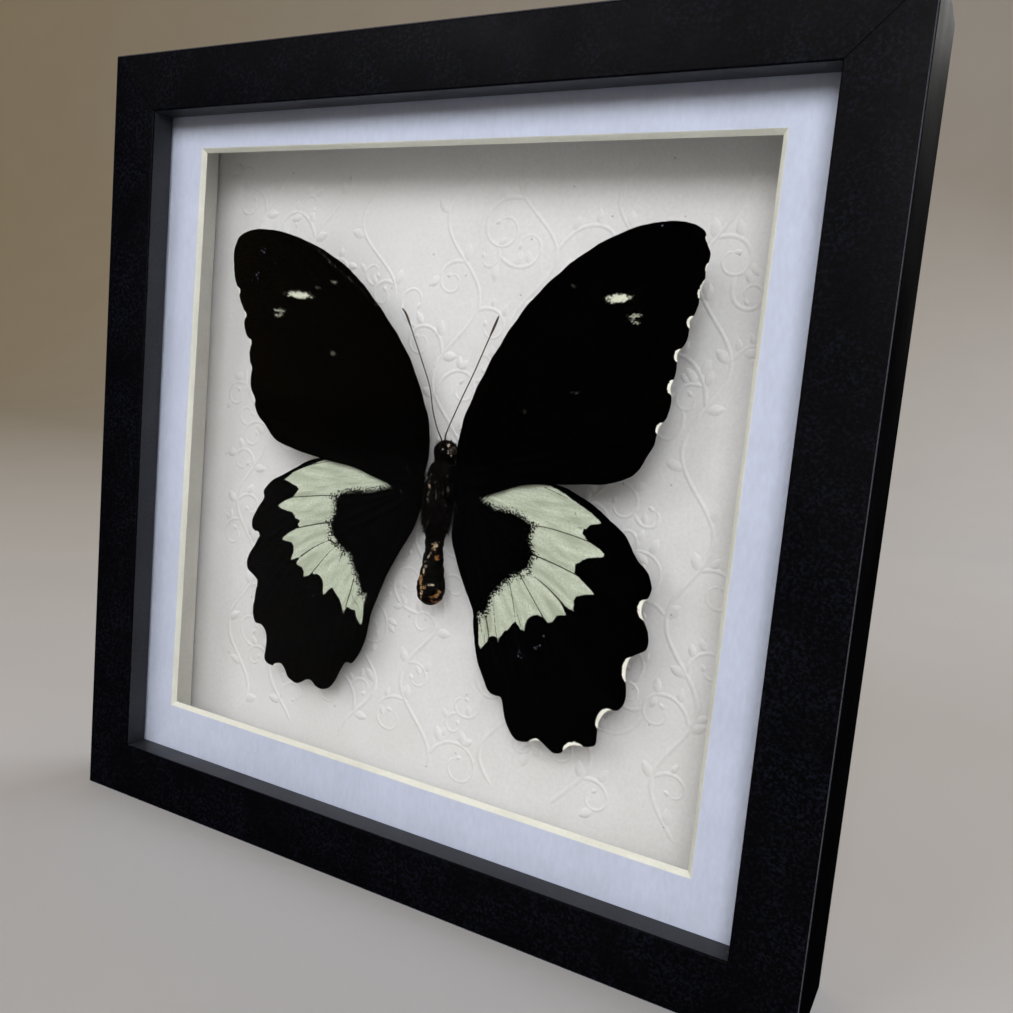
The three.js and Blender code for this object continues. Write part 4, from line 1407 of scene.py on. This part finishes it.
# Pale patches on the skin: middle (across, up), half length, half width, lean, and 0 cream to 1 rust.
# Their places are on the body's middle plane, and wrap carries them round its front.
bodyPatchesAndGlints = [
    {"at": (0.5, -16.3), "size": (0.9, 0.45), "lean": -20, "pale": 0.25},
    {"at": (0.0, -17.3), "size": (0.8, 0.4), "lean": 75, "pale": 0.3},
    {"at": (-0.8, -18.9), "size": (1.9, 0.32), "lean": 60, "pale": 0.12},
    {"at": (1.0, -19.4), "size": (1.1, 0.4), "lean": -60, "pale": 0.9},
    {"at": (-1.7, -22.4), "size": (0.7, 0.2), "lean": 62, "pale": 0.05},
    {"at": (-2.2, -23.8), "size": (0.6, 0.2), "lean": 66, "pale": 0.15},
    {"at": (-2.9, -25.0), "size": (0.6, 0.45), "lean": 60, "pale": 0.7},
    {"at": (-2.7, -26.2), "size": (0.9, 0.45), "lean": -75, "pale": 0.6},
    {"at": (-2.0, -27.1), "size": (0.75, 0.4), "lean": 5, "pale": 0.45},
    {"at": (-1.0, -26.5), "size": (0.6, 0.2), "lean": 8, "pale": 0.05},
    {"at": (0.6, -26.2), "size": (0.6, 0.2), "lean": 4, "pale": 0.0},
    {"at": (-2.3, -28.9), "size": (1.3, 0.2), "lean": 88, "pale": 0.3},
    {"at": (2.5, -28.1), "size": (0.9, 0.5), "lean": 55, "pale": 0.65},
    {"at": (1.4, -29.0), "size": (1.2, 0.5), "lean": 25, "pale": 0.75},
    {"at": (1.0, -30.2), "size": (0.9, 0.3), "lean": 5, "pale": 0.95},
    {"at": (2.6, -30.2), "size": (0.7, 0.3), "lean": 30, "pale": 0.85},
    # painted highlights: these six patches on the head and thorax stand for glints there, and hair rooted in
    # them is drawn pale too
    {"at": (2.0, 7.8), "size": (0.7, 0.26), "lean": -40, "pale": 0.1},
    {"at": (2.5, 6.1), "size": (0.8, 0.2), "lean": -52, "pale": 0.0},
    {"at": (0.4, 6.9), "size": (0.25, 0.2), "lean": 0, "pale": 0.05},
    {"at": (-2.4, -1.4), "size": (0.7, 0.25), "lean": 80, "pale": 0.02},
    {"at": (-2.4, -3.2), "size": (1.1, 0.1), "lean": 86, "pale": 0.05},
    {"at": (2.6, -2.3), "size": (0.5, 0.28), "lean": 40, "pale": 0.35},
]
skin = {
    "black": (0.0007, 0.0006, 0.0006),
    "brown": (0.005, 0.0026, 0.0018),
    "cream": (0.56, 0.48, 0.38),
    "tan": (0.40, 0.22, 0.09),
    "rust": (0.22, 0.085, 0.028),
    "fray": -2.6,
    "drift": 0.8,
}


def bodyProfile():
    # height, radius, sideways middle
    solid = nodePoints("butterfly_body")
    rows = []
    for height in levels(solid[:, 2]):
        ring = solid[np.abs(solid[:, 2] - height) < 0.03]
        low, high = ring[:, 0].min(), ring[:, 0].max()
        rows.append((height, (high - low) / 2, (high + low) / 2))
    return evenSteps(openCurve(rows, 6), bodyForm["pitch"], closed=False)


def lumps(x, y, z, scale):
    x, y, z = x * scale, y * scale, z * scale
    return (np.sin(x * 1.7 + y * 0.9 + 0.4) * np.sin(z * 1.3 + x * 0.5)
            + 0.6 * np.sin(y * 2.3 - z * 1.9 + 1.2) + 0.4 * np.sin(z * 3.1 + x * 2.7 + y))


bodyMiddle = float(np.mean(nodeSpan("butterfly_body"), axis=0)[1])
bodyLine = bodyProfile()


def skinPoint(height, radius, across, turn):
    # turn runs round the body; -90 degrees faces the viewer
    form = bodyForm
    x, y = np.cos(turn), np.sin(turn)
    size = np.full_like(x, radius)
    if height < form["abdomenTop"]:
        along = (form["abdomenTop"] - height) / form["segment"]
        part = along - math.floor(along)
        gap = min(part, 1 - part) * form["segment"]
        groove = form["groove"] * math.exp(-(gap / form["grooveWidth"]) ** 2)
        size = size - groove + form["overlap"] * (part - 0.5)
        dents = lumps(x * radius, y * radius, height, form["dentsPerMm"])
        size = size + form["dent"] * dents * min(1, radius / 2)
        y = y * form["flatten"]
    elif height < form["neck"]:
        size = size + form["swell"] * lumps(x * radius, y * radius, height, form["swellsPerMm"])
        size = size - form["crease"] * np.exp(-(x / form["creaseWidth"]) ** 2) * (y < 0)
    size = np.maximum(size, radius * 0.5)
    return np.stack([across + x * size, bodyMiddle + y * size, np.full_like(x, height)], -1)


def patchValue(points):
    ahead = bodyMiddle - points[:, 1]
    across, up = bodyForm["wrap"]
    flat = np.stack([points[:, 0] - across * ahead, points[:, 2] - up * ahead], -1)
    value, tone = shapedValue(flat, bodyPatchesAndGlints)
    return np.where(ahead > -0.8, value, farOutside), tone


def bodySkin(material):
    turns = np.linspace(0, 2 * math.pi, bodyForm["spokes"], endpoint=False)
    rings = [skinPoint(h, max(r, 0.02), m, turns) for h, r, m in bodyLine]
    points, faces = loft(rings, caps=True)
    faces = [f[::-1] for f in faces]
    body = makePiece("butterfly_skin", points, faces, [material], ["butterfly_body"])
    value, tone = patchValue(points)
    addField(body, "patchMm", value)
    addField(body, "patchTone", tone)


def skinMaterial():
    material, tree, shader = newMaterial("bodySkin", skin["black"], 0.6, Specular_IOR_Level=0.02)
    spot = place(tree)
    grain = noiseValue(tree, spot, 1.6, 4.0, 0.75)
    cloud = noiseValue(tree, spot, 0.55, 3.0)
    ground = tint(tree, cloud, 0.52, 0.72, 0.8, skin["black"], skin["brown"])
    tone = attribute(tree, "patchTone")
    warm = tint(tree, tone, 0.0, 0.5, 1, skin["cream"], skin["tan"])
    warm = tint(tree, tone, 0.5, 1.0, 1, warm, skin["rust"])
    warm = tint(tree, grain, 0.46, 0.64, 0.85, warm, skin["brown"])
    shift = calc(tree, "ADD", swing(tree, grain, 0.48, skin["fray"]), swing(tree, cloud, 0.5, skin["drift"]))
    edge = calc(tree, "ADD", attribute(tree, "patchMm"), shift)
    colour = blendColour(tree, remap(tree, edge, -0.06, 0.22, 0, 0.95, smooth=True), ground, warm)
    feed(tree, shader, Base_Color=colour, Roughness=remap(tree, grain, 0.3, 0.7, 0.42, 0.75))
    addBump(tree, shader, grain, 0.6, 0.10)
    return material


hair = {
    "thoraxCount": 5200,
    "headCount": 1100,
    "wingCount": 620,
    "width": 0.065,
    "black": (0.0006, 0.0005, 0.0005),
    "brown": (0.0034, 0.0023, 0.0019),
    "pale": (0.46, 0.44, 0.45),
    "thoraxFrom": (-13.2, 3.4),
    "thoraxLength": (0.5, 1.25),
    "headFrom": (3.6, 8.9),
    "headLength": (0.3, 0.7),
    "wingReach": (0.5, 11),
    "wingLength": (1.2, 3.4),
    "strays": 0.008,
    "seed": 7,
}
# Pale strands by the left wings' roots: start, heading, how many, length, tone
paleStrands = [
    ((-11.5, 14.9, -2.3), (0.60, -0.02, -0.80), 5, 3.9, 1.0),
    ((-11.2, 14.7, 4.4), (0.62, -0.02, -0.78), 2, 3.0, 0.86),
    ((-8.9, 14.7, 1.9), (0.50, -0.02, -0.86), 2, 3.2, 0.85),
]


def hairMaterial():
    material, tree, shader = newMaterial("bodyHair", hair["black"], 0.55, Specular_IOR_Level=0.0)
    tone = attribute(tree, "hairTone")
    colour = tint(tree, tone, 0.0, 0.8, 1, hair["black"], hair["brown"])
    colour = tint(tree, tone, 0.8, 1.0, 1, colour, hair["pale"])
    rough = remap(tree, noiseValue(tree, place(tree), 3.0), 0.3, 0.7, 0.4, 0.7)
    feed(tree, shader, Base_Color=colour, Roughness=rough)
    return material


def combHair(name, roots, growth, lean, lengths, widths, tones, material):
    # each hair is a narrow tapered ribbon of seven points that leans over towards its tip
    rng = np.random.default_rng(len(roots))
    aside = np.cross(growth, rng.normal(size=growth.shape))
    aside /= np.linalg.norm(aside, axis=1)[:, None]
    rows = []
    for share, wide in ((0.0, 1.0), (0.35, 0.85), (0.7, 0.55)):
        middle = roots + growth * (lengths * share)[:, None] + lean * (lengths * share ** 2 * 0.5)[:, None]
        half = aside * (widths * wide / 2)[:, None]
        rows += [middle - half, middle + half]
    rows.append(roots + growth * lengths[:, None] + lean * (lengths * 0.5)[:, None])
    points = np.stack(rows, 1).reshape(-1, 3)
    first = np.arange(len(roots)) * len(rows)
    faces = [(f, f + 1, f + 3, f + 2) for f in first] + [(f + 2, f + 3, f + 5, f + 4) for f in first]
    faces += [(f + 4, f + 5, f + 6) for f in first]
    strands = makePiece(name, points, faces, [material], ())
    addField(strands, "hairTone", np.repeat(tones, len(rows)))


def thoraxHair(material):
    rng = np.random.default_rng(hair["seed"])
    count = hair["thoraxCount"] + hair["headCount"]
    onThorax = np.arange(count) < hair["thoraxCount"]
    none = np.zeros(count)
    height = np.where(onThorax, rng.uniform(*hair["thoraxFrom"], count),
                      rng.uniform(*hair["headFrom"], count))
    turn = rng.uniform(-math.pi, math.pi, count)
    radius = np.interp(height, bodyLine[:, 0], bodyLine[:, 1])
    across = np.interp(height, bodyLine[:, 0], bodyLine[:, 2])
    outward = np.stack([np.cos(turn), np.sin(turn), none], -1)
    middle = np.stack([across, none + bodyMiddle, height], -1)
    roots = middle + outward * (radius - 0.12)[:, None]
    # combed down over the thorax and up over the head
    along = np.where(onThorax, -0.8, 0.55)
    growth = outward * 0.75 + np.stack([none, none, along], -1) + rng.normal(size=(count, 3)) * 0.22
    growth /= np.linalg.norm(growth, axis=1)[:, None]
    lean = np.stack([rng.normal(0, 0.3, count), rng.normal(0, 0.2, count), along], -1)
    lengths = np.where(onThorax, rng.uniform(*hair["thoraxLength"], count),
                       rng.uniform(*hair["headLength"], count))
    widths = hair["width"] * rng.uniform(0.7, 1.2, count)
    tones = rng.uniform(0, 0.8, count)
    tones[rng.uniform(size=count) < hair["strays"]] = 0.95
    # painted highlights: hair rooted in a head or thorax patch is pale, for the glints seen there
    inGlintPatch = patchValue(roots)[0] > 0.08
    tones[inGlintPatch] = rng.uniform(0.9, 1.0, count)[inGlintPatch]
    combHair("thorax_hair", roots, growth, lean, lengths, widths, tones, material)


def wingHair(material):
    # long hair that lies over each wing's root, and a few pale strands
    rng = np.random.default_rng(hair["seed"] + 1)
    groups = []
    for name, spec in wingSet.items():
        count = hair["wingCount"]
        turn, root = wingPlace(spec)
        fore = name.startswith("fore")
        angle = rng.normal(0.55 if fore else -0.55, 0.45, count)
        reach = rng.uniform(*hair["wingReach"], count)
        u, v = reach * np.cos(angle), reach * np.sin(angle) - (0 if fore else 1.5)
        local = np.stack([u * spec["side"], np.full(count, -0.12), v], -1)
        heading = angle + rng.normal(0, 0.25, count) - (0.25 if fore else 0.1)
        lift = rng.uniform(-0.22, -0.04, count)
        growth = np.stack([np.cos(heading) * spec["side"], lift, np.sin(heading)], -1)
        lengths = rng.uniform(*hair["wingLength"], count) * (1.1 - reach / 16)
        tones = rng.uniform(0, 0.4, count)
        tones[rng.uniform(size=count) < hair["strays"]] = 0.84
        groups.append((local @ turn.T + root, growth @ turn.T, lengths, tones))
    for start, heading, strands, long, tone in paleStrands:
        first = np.array(start) + rng.normal(0, 0.05, (strands, 3))
        growth = np.tile(np.array(heading), (strands, 1)) + rng.normal(0, 0.015, (strands, 3))
        groups.append((first, growth, rng.uniform(0.85, 1.0, strands) * long, np.full(strands, tone)))
    roots, growth, lengths, tones = (np.concatenate(column) for column in zip(*groups))
    growth /= np.linalg.norm(growth, axis=1)[:, None]
    lean = rng.normal(0, 0.12, roots.shape) + np.array([0, 0.10, -0.1])
    widths = np.full(len(roots), hair["width"] * 0.9)
    combHair("wing_root_hair", roots, growth, lean, lengths, widths, tones, material)


def ball(centre, radii, turn=None, rings=20, spokes=28):
    # a closed rounded form; turn is a 3 by 3 rotation
    rows = []
    for r in range(1, rings):
        polar = math.pi * r / rings
        row = []
        for k in range(spokes):
            a = 2 * math.pi * k / spokes
            row.append((math.sin(polar) * math.cos(a), math.sin(polar) * math.sin(a), math.cos(polar)))
        rows.append(row)
    points, faces = loft(rows)
    top, bottom = len(points), len(points) + 1
    points = np.concatenate([points, [(0, 0, 1), (0, 0, -1)]])
    last = (rings - 2) * spokes
    for k in range(spokes):
        n = (k + 1) % spokes
        faces.append((top, k, n))
        faces.append((bottom, last + n, last + k))
    points = points * np.array(radii)
    if turn is not None:
        points = points @ np.array(turn).T
    return points + np.array(centre), faces


def joinForms(forms):
    points, faces, start = [], [], 0
    for p, f in forms:
        points.append(np.asarray(p, float))
        faces += [tuple(i + start for i in face) for face in f]
        start += len(p)
    return np.concatenate(points), faces


headForm = {
    "middle": (1.1, 16.2, 6.5),
    "eyeSide": 1.75,
    "eyeUp": 0.25,
    "eyeSize": (1.25, 1.5, 1.45),
    "eyeDark": (0.010, 0.006, 0.005),
    "eyeLight": (0.03, 0.016, 0.010),
    "facetsPerMm": 7.0,
    "palp": (0.5, 0.62, 1.35),
    "palpPlace": (0.62, 0.9, 1.7),
    "palpLean": 12,
}


def eyeMaterial():
    material, tree, shader = newMaterial("eyeBrown", headForm["eyeDark"], 0.28)
    spot = place(tree)
    cloud = noiseValue(tree, spot, 0.8)
    feed(tree, shader, Base_Color=tint(tree, cloud, 0.35, 0.65, 1, headForm["eyeDark"], headForm["eyeLight"]))
    facets = cellNoise(tree, spot, headForm["facetsPerMm"])
    addBump(tree, shader, facets.outputs["Distance"], 0.5, 0.05)
    return material


def eyesAndPalps(eyeBrown, skinBlack):
    x, y, z = headForm["middle"]
    for side, name in ((-1, "eye_left"), (1, "eye_right")):
        centre = (x + side * headForm["eyeSide"], y, z + headForm["eyeUp"])
        points, faces = ball(centre, headForm["eyeSize"])
        makePiece(name, points, faces, [eyeBrown], ())
    aside, back, up = headForm["palpPlace"]
    forms = []
    for side in (-1, 1):
        lean = np.array(Matrix.Rotation(math.radians(side * headForm["palpLean"]), 3, "Y"))
        forms.append(ball((x + side * aside, y + back, z + up), headForm["palp"], lean, rings=14, spokes=16))
    points, faces = joinForms(forms)
    makePiece("palps", points, faces, [skinBlack], ())


antennae = {
    "antenna_left": [
        (0.3, 8.2), (-0.3, 9.9), (-1.5, 12.2), (-3, 16.2), (-4.3, 21.4), (-7, 27.2), (-10, 33.2),
        (-12.6, 38.2), (-14.1, 39.9),
    ],
    "antenna_right": [
        (0.7, 8.8), (1.2, 10.8), (2.9, 15), (5.2, 20.5), (7.7, 26.2), (10, 32), (11.6, 36), (12.9, 39.3),
    ],
}
antennaForm = {
    "dark": (0.014, 0.008, 0.006),
    "light": (0.05, 0.024, 0.014),
    "pitch": 0.11,
    "stem": 0.155,
    "base": 0.24,
    "baseFade": 1.5,
    "club": 0.31,
    "clubLength": 5.2,
    "jointPitch": 0.55,
    "jointDip": 0.16,
    "jointWidth": 0.13,
    "sink": 0.9,    # how far the foot dips back into the head
    "sinkFade": 1.2,
    "spokes": 10,
}


def antennaMaterial():
    material, tree, shader = newMaterial("antennaBrown", antennaForm["dark"], 0.45)
    spot = place(tree)
    cloud = noiseValue(tree, spot, 1.4, 3.0)
    feed(tree, shader, Base_Color=tint(tree, cloud, 0.35, 0.65, 1, antennaForm["dark"], antennaForm["light"]))
    addBump(tree, shader, noiseValue(tree, spot, 9.0), 0.4, 0.02)
    return material


def growAntenna(name, material):
    form = antennaForm
    low, high = nodeSpan(name)
    depth = float((low[1] + high[1]) / 2)
    line = evenSteps(openCurve(antennae[name], 10), form["pitch"], closed=False)
    run = np.arange(len(line)) * form["pitch"]
    length = run[-1]
    rings = []
    for i, (x, z) in enumerate(line):
        ahead = line[min(i + 1, len(line) - 1)] - line[max(i - 1, 0)]
        ahead = ahead / np.linalg.norm(ahead)
        toTip = length - run[i]
        radius = form["stem"] + (form["base"] - form["stem"]) * math.exp(-run[i] / form["baseFade"])
        if toTip < form["clubLength"]:
            radius += (form["club"] - form["stem"]) * math.sin(toTip / form["clubLength"] * math.pi) ** 0.8
        radius *= min(1.0, 0.35 + toTip / 0.5)
        joint = (run[i] / form["jointPitch"]) % 1
        radius *= 1 - form["jointDip"] * math.exp(-(min(joint, 1 - joint) / form["jointWidth"]) ** 2)
        sink = form["sink"] * math.exp(-run[i] / form["sinkFade"])
        ring = []
        for k in range(form["spokes"]):
            a = 2 * math.pi * k / form["spokes"]
            out = radius * math.cos(a)
            ring.append((x - ahead[1] * out, depth + sink + radius * math.sin(a), z + ahead[0] * out))
        rings.append(ring)
    points, faces = loft(rings, caps=True)
    makePiece(name + "_clubbed", points, faces, [material], [name])


bodySkinBlack = skinMaterial()
bodyHairBlack = hairMaterial()
bodySkin(bodySkinBlack)
thoraxHair(bodyHairBlack)
wingHair(bodyHairBlack)
eyesAndPalps(eyeMaterial(), bodySkinBlack)
antennaBrown = antennaMaterial()
for name in antennae:
    growAntenna(name, antennaBrown)
print("insect built")


# Pad that holds the insect off the paper, and the closed back of the frame
backFinish = {
    "foam": (0.46, 0.36, 0.23),
    "foamDark": (0.30, 0.22, 0.13),
    "foamCellsPerMm": 2.6,
    "board": (0.20, 0.105, 0.050),
    "boardLight": (0.32, 0.19, 0.10),
    "boardDark": (0.13, 0.065, 0.03),
    "steel": (0.56, 0.56, 0.55),
    "steelDull": (0.38, 0.38, 0.38),
    "metal": 0.45,    # dulled steel, so it still shows grey away from the lamps
}
padForm = {
    "ease": 0.4,
    "steps": 30,
    "endSqueeze": 0.94,
    "dent": 0.10,
    "dentsPerMm": 1.6,
}
tabForm = {
    "steps": 18,
    "evenShare": 0.293,    # the part of its length with evenly spaced rows, before they close up
    "taper": 0.12,
    "tip": 2.6,
    "lift": 0.25,
    "bead": 0.12,
}
hangerForm = {
    "weld": 0.02,
    "ease": 0.15,
    "spokes": 32,
    "rivet": [(0.98, 0), (1.0, 0.15), (0.97, 0.45), (0.85, 0.75), (0.6, 0.92), (0.3, 1.0), (0.16, 0.86)],
}


def foamMaterial():
    material, tree, shader = newMaterial("padFoam", backFinish["foam"], 0.95)
    gap = cellNoise(tree, place(tree), backFinish["foamCellsPerMm"]).outputs["Distance"]
    pore = remap(tree, gap, 0.1, 0.5, 1, 0)
    feed(tree, shader, Base_Color=blendColour(tree, pore, backFinish["foam"], backFinish["foamDark"]))
    addBump(tree, shader, gap, 0.8, 0.2)
    return material


def boardMaterial():
    material, tree, shader = newMaterial("backingBoard", backFinish["board"], 0.8, Specular_IOR_Level=0.25)
    fleck = noiseValue(tree, place(tree, (1, 1, 0.4)), 1.1, 5.0, 0.7)
    cloud = noiseValue(tree, place(tree), 0.04, 3.0)
    tone = tint(tree, fleck, 0.42, 0.66, 0.9, backFinish["board"], backFinish["boardLight"])
    tone = tint(tree, cloud, 0.35, 0.7, 0.35, tone, backFinish["boardDark"])
    feed(tree, shader, Base_Color=tone, Roughness=remap(tree, fleck, 0.3, 0.7, 0.62, 0.88))
    addBump(tree, shader, fleck, 0.5, 0.08)
    return material


def steelMaterial():
    material, tree, shader = newMaterial("tabSteel", backFinish["steel"], 0.35, Metallic=backFinish["metal"])
    brushed = noiseValue(tree, place(tree, (0.3, 1, 3)), 1.5, 4.0, 0.6)
    cloud = noiseValue(tree, place(tree), 0.3, 3.0)
    tone = tint(tree, cloud, 0.4, 0.7, 1, backFinish["steel"], backFinish["steelDull"])
    feed(tree, shader, Base_Color=tone, Roughness=remap(tree, brushed, 0.3, 0.7, 0.26, 0.5))
    addBump(tree, shader, brushed, 0.3, 0.02)
    return material


def foamPad(material):
    low, high = nodeSpan("specimen_pad")
    section = barSection(low, high, 0, padForm["ease"], steps=3)
    steps = padForm["steps"]
    rings = []
    for k in range(steps + 1):
        z = low[2] + (high[2] - low[2]) * k / steps
        squeeze = padForm["endSqueeze"] if k in (0, steps) else 1.0
        ring = []
        for p in section:
            dent = padForm["dent"] * float(lumps(p.x, p.y, z, padForm["dentsPerMm"]))
            ring.append((p.x * squeeze + dent * 0.6, p.y + abs(dent) * 0.2, z))
        rings.append(ring)
    points, faces = loft(rings, caps=True)
    pad = makePiece("specimen_pad_foam", points, faces, [material], ["specimen_pad"], sharp=60)


def retainingTab(node, material):
    # flat steel point: square where it leaves the rail, rounded and lifted at its tip
    low, high = nodeSpan(node)
    upright = abs(low[2] + high[2]) > abs(low[0] + high[0])
    along, side = (2, 0) if upright else (0, 2)
    outwards = math.copysign(1, low[along] + high[along])
    length = high[along] - low[along]
    halfWide = (high[side] - low[side]) / 2
    thick = high[1] - low[1]
    middle = (low[side] + high[side]) / 2
    rootAt = max(abs(low[along]), abs(high[along])) * outwards
    tip, steps = tabForm["tip"], tabForm["steps"]
    rings = []
    for k in range(steps + 1):
        share = tabForm["evenShare"] * k / (steps / 2)
        if k > steps / 2:
            share = 1 - math.cos(math.pi / 2 * k / steps)
        at = length * share
        left = length - at
        wide = halfWide * (1 - tabForm["taper"] * share)
        if left < tip:
            wide = wide - tip + math.sqrt(max(0.0, tip ** 2 - (tip - left) ** 2))
        lift = tabForm["lift"] * share ** 3
        corners = [(-wide, 0.0), (wide, 0.0), (wide, thick), (-wide, thick)]
        ring = []
        for p in roundCorners(corners, [tabForm["bead"]] * 4, steps=2):
            point = [0.0, float(low[1]) + p.y + lift, 0.0]
            point[along] = rootAt - outwards * at
            point[side] = middle + p.x
            ring.append(tuple(point))
        rings.append(ring)
    points, faces = loft(rings, caps=True)
    makePiece(node + "_point", points, faces, [material], [node], sharp=45)


def hangerPlate(material):
    plate = refinish("sawtooth_hanger", material)
    weld = plate.modifiers.new("weld", "WELD")
    weld.merge_threshold = hangerForm["weld"] * mm
    ease = plate.modifiers.new("ease", "BEVEL")
    ease.width = hangerForm["ease"] * mm
    ease.segments = 2
    ease.limit_method = "ANGLE"


def rivetHead(node, material):
    low, high = nodeSpan(node)
    middle = (low + high) / 2
    radius = (high[0] - low[0]) / 2
    turns = np.arange(hangerForm["spokes"]) * 2 * math.pi / hangerForm["spokes"]
    rings = []
    for wide, rise in hangerForm["rivet"]:
        across, up = np.cos(turns) * wide * radius, np.sin(turns) * wide * radius
        depth = np.full(len(turns), low[1] + rise * (high[1] - low[1]))
        rings.append(np.stack([middle[0] + across, depth, middle[2] + up], -1))
    points, faces = loft(rings, caps=True)
    makePiece(node + "_head", points, faces, [material], [node], sharp=50)


foamPad(foamMaterial())
refinish("backing_panel", boardMaterial())
tabSteel = steelMaterial()
for node in sorted(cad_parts):
    if node.startswith("retaining_tab"):
        retainingTab(node, tabSteel)
hangerPlate(tabSteel)
for node in ("hanger_rivet_left", "hanger_rivet_right"):
    rivetHead(node, tabSteel)
print("back closed")


# Stage: pale seamless floor, soft studio lights and the camera
studio = {
    "floorColour": (0.64, 0.69, 0.79),
    "floorShade": 0.97,
    "sweepStart": 0.9,
    "sweepRadius": 0.8,
    "sweepSteps": 16,
    "sweepHeight": 1.6,
    "halfWidth": 3.0,
    "world": (1.0, 0.69, 0.32),
    "worldStrength": 0.31,
}
lamps = {
    "key": {"from": (0.38, -0.95, 0.55), "size": 0.5, "watts": 5.5, "colour": (0.985, 0.985, 0.99)},
    "side": {"from": (-0.43, -0.95, 0.62), "size": 0.5, "watts": 2.7, "colour": (0.985, 0.985, 0.99)},
    "rear": {"from": (0.5, 1.0, 0.9), "size": 0.8, "watts": 6.0, "colour": (1.0, 0.98, 0.95)},
}
viewpoint = {
    "place": (0.12063, -0.19403, 0.12296),
    "right": (0.87853, 0.46900, 0.09064),
    "up": (-0.13753, 0.06664, 0.98825),
    "back": (0.45745, -0.88068, 0.12305),
    "lens": 33.81,
    "sensor": 36.0,
}


def floorMaterial():
    colour = studio["floorColour"]
    shade = tuple(channel * studio["floorShade"] for channel in colour)
    material, tree, shader = newMaterial("studioFloor", colour, 0.85)
    spot = place(tree)
    feed(tree, shader, Base_Color=tint(tree, noiseValue(tree, spot, 0.01, 3.0), 0.3, 0.7, 1, colour, shade))
    addBump(tree, shader, noiseValue(tree, spot, 0.8, 3.0), 0.1, 0.05)
    return material


def buildFloor(material):
    wide, start, radius = studio["halfWidth"], studio["sweepStart"], studio["sweepRadius"]
    profile = [(-wide, 0.0), (0.0, 0.0), (start, 0.0)]
    for k in range(1, studio["sweepSteps"] + 1):
        turn = k / studio["sweepSteps"] * math.pi / 2
        profile.append((start + radius * math.sin(turn), radius - radius * math.cos(turn)))
    profile.append((start + radius, studio["sweepHeight"]))
    rings = [[(x, y, z) for y, z in profile] for x in (-wide, 0.0, wide)]
    points, faces = loft(rings, closeRings=False)
    mesh = bpy.data.meshes.new("studio_floor")
    mesh.from_pydata(points.tolist(), [], [f[::-1] for f in faces])
    mesh.materials.append(material)
    mesh.shade_smooth()
    floor = bpy.data.objects.new("studio_floor", mesh)
    floor.visible_glossy = False  # keeps the floor out of the pane
    bpy.context.scene.collection.objects.link(floor)


def hangLamps():
    target = Vector((0, 0, middleZ))
    for name, lamp in lamps.items():
        light = bpy.data.lights.new(name, "AREA")
        light.shape = "SQUARE"
        light.size = lamp["size"]
        light.energy = lamp["watts"]
        light.color = lamp["colour"]
        holder = bpy.data.objects.new(name, light)
        holder.location = target + Vector(lamp["from"])
        holder.rotation_mode = "QUATERNION"
        holder.rotation_quaternion = (target - holder.location).to_track_quat("-Z", "Y")
        holder.visible_transmission = False
        bpy.context.scene.collection.objects.link(holder)
    world = bpy.data.worlds.new("studio")
    world.use_nodes = True
    sky = world.node_tree.nodes["Background"]
    sky.inputs["Color"].default_value = (*studio["world"], 1)
    sky.inputs["Strength"].default_value = studio["worldStrength"]
    world.cycles_visibility.glossy = False  # keeps the pane clear of the surrounding light too
    bpy.context.scene.world = world


def setCamera():
    lens = bpy.data.cameras.new("camera")
    lens.sensor_fit = "HORIZONTAL"
    lens.sensor_width = viewpoint["sensor"]
    lens.lens = viewpoint["lens"]
    lens.clip_start = 0.01
    camera = bpy.data.objects.new("camera", lens)
    turn = Matrix([viewpoint["right"], viewpoint["up"], viewpoint["back"]]).transposed()
    camera.matrix_world = Matrix.Translation(viewpoint["place"]) @ turn.to_4x4()
    bpy.context.scene.collection.objects.link(camera)
    bpy.context.scene.camera = camera


buildFloor(floorMaterial())
hangLamps()
setCamera()
bpy.context.scene.view_settings.view_transform = "Standard"
print("studio set")

bpy.context.view_layer.update()
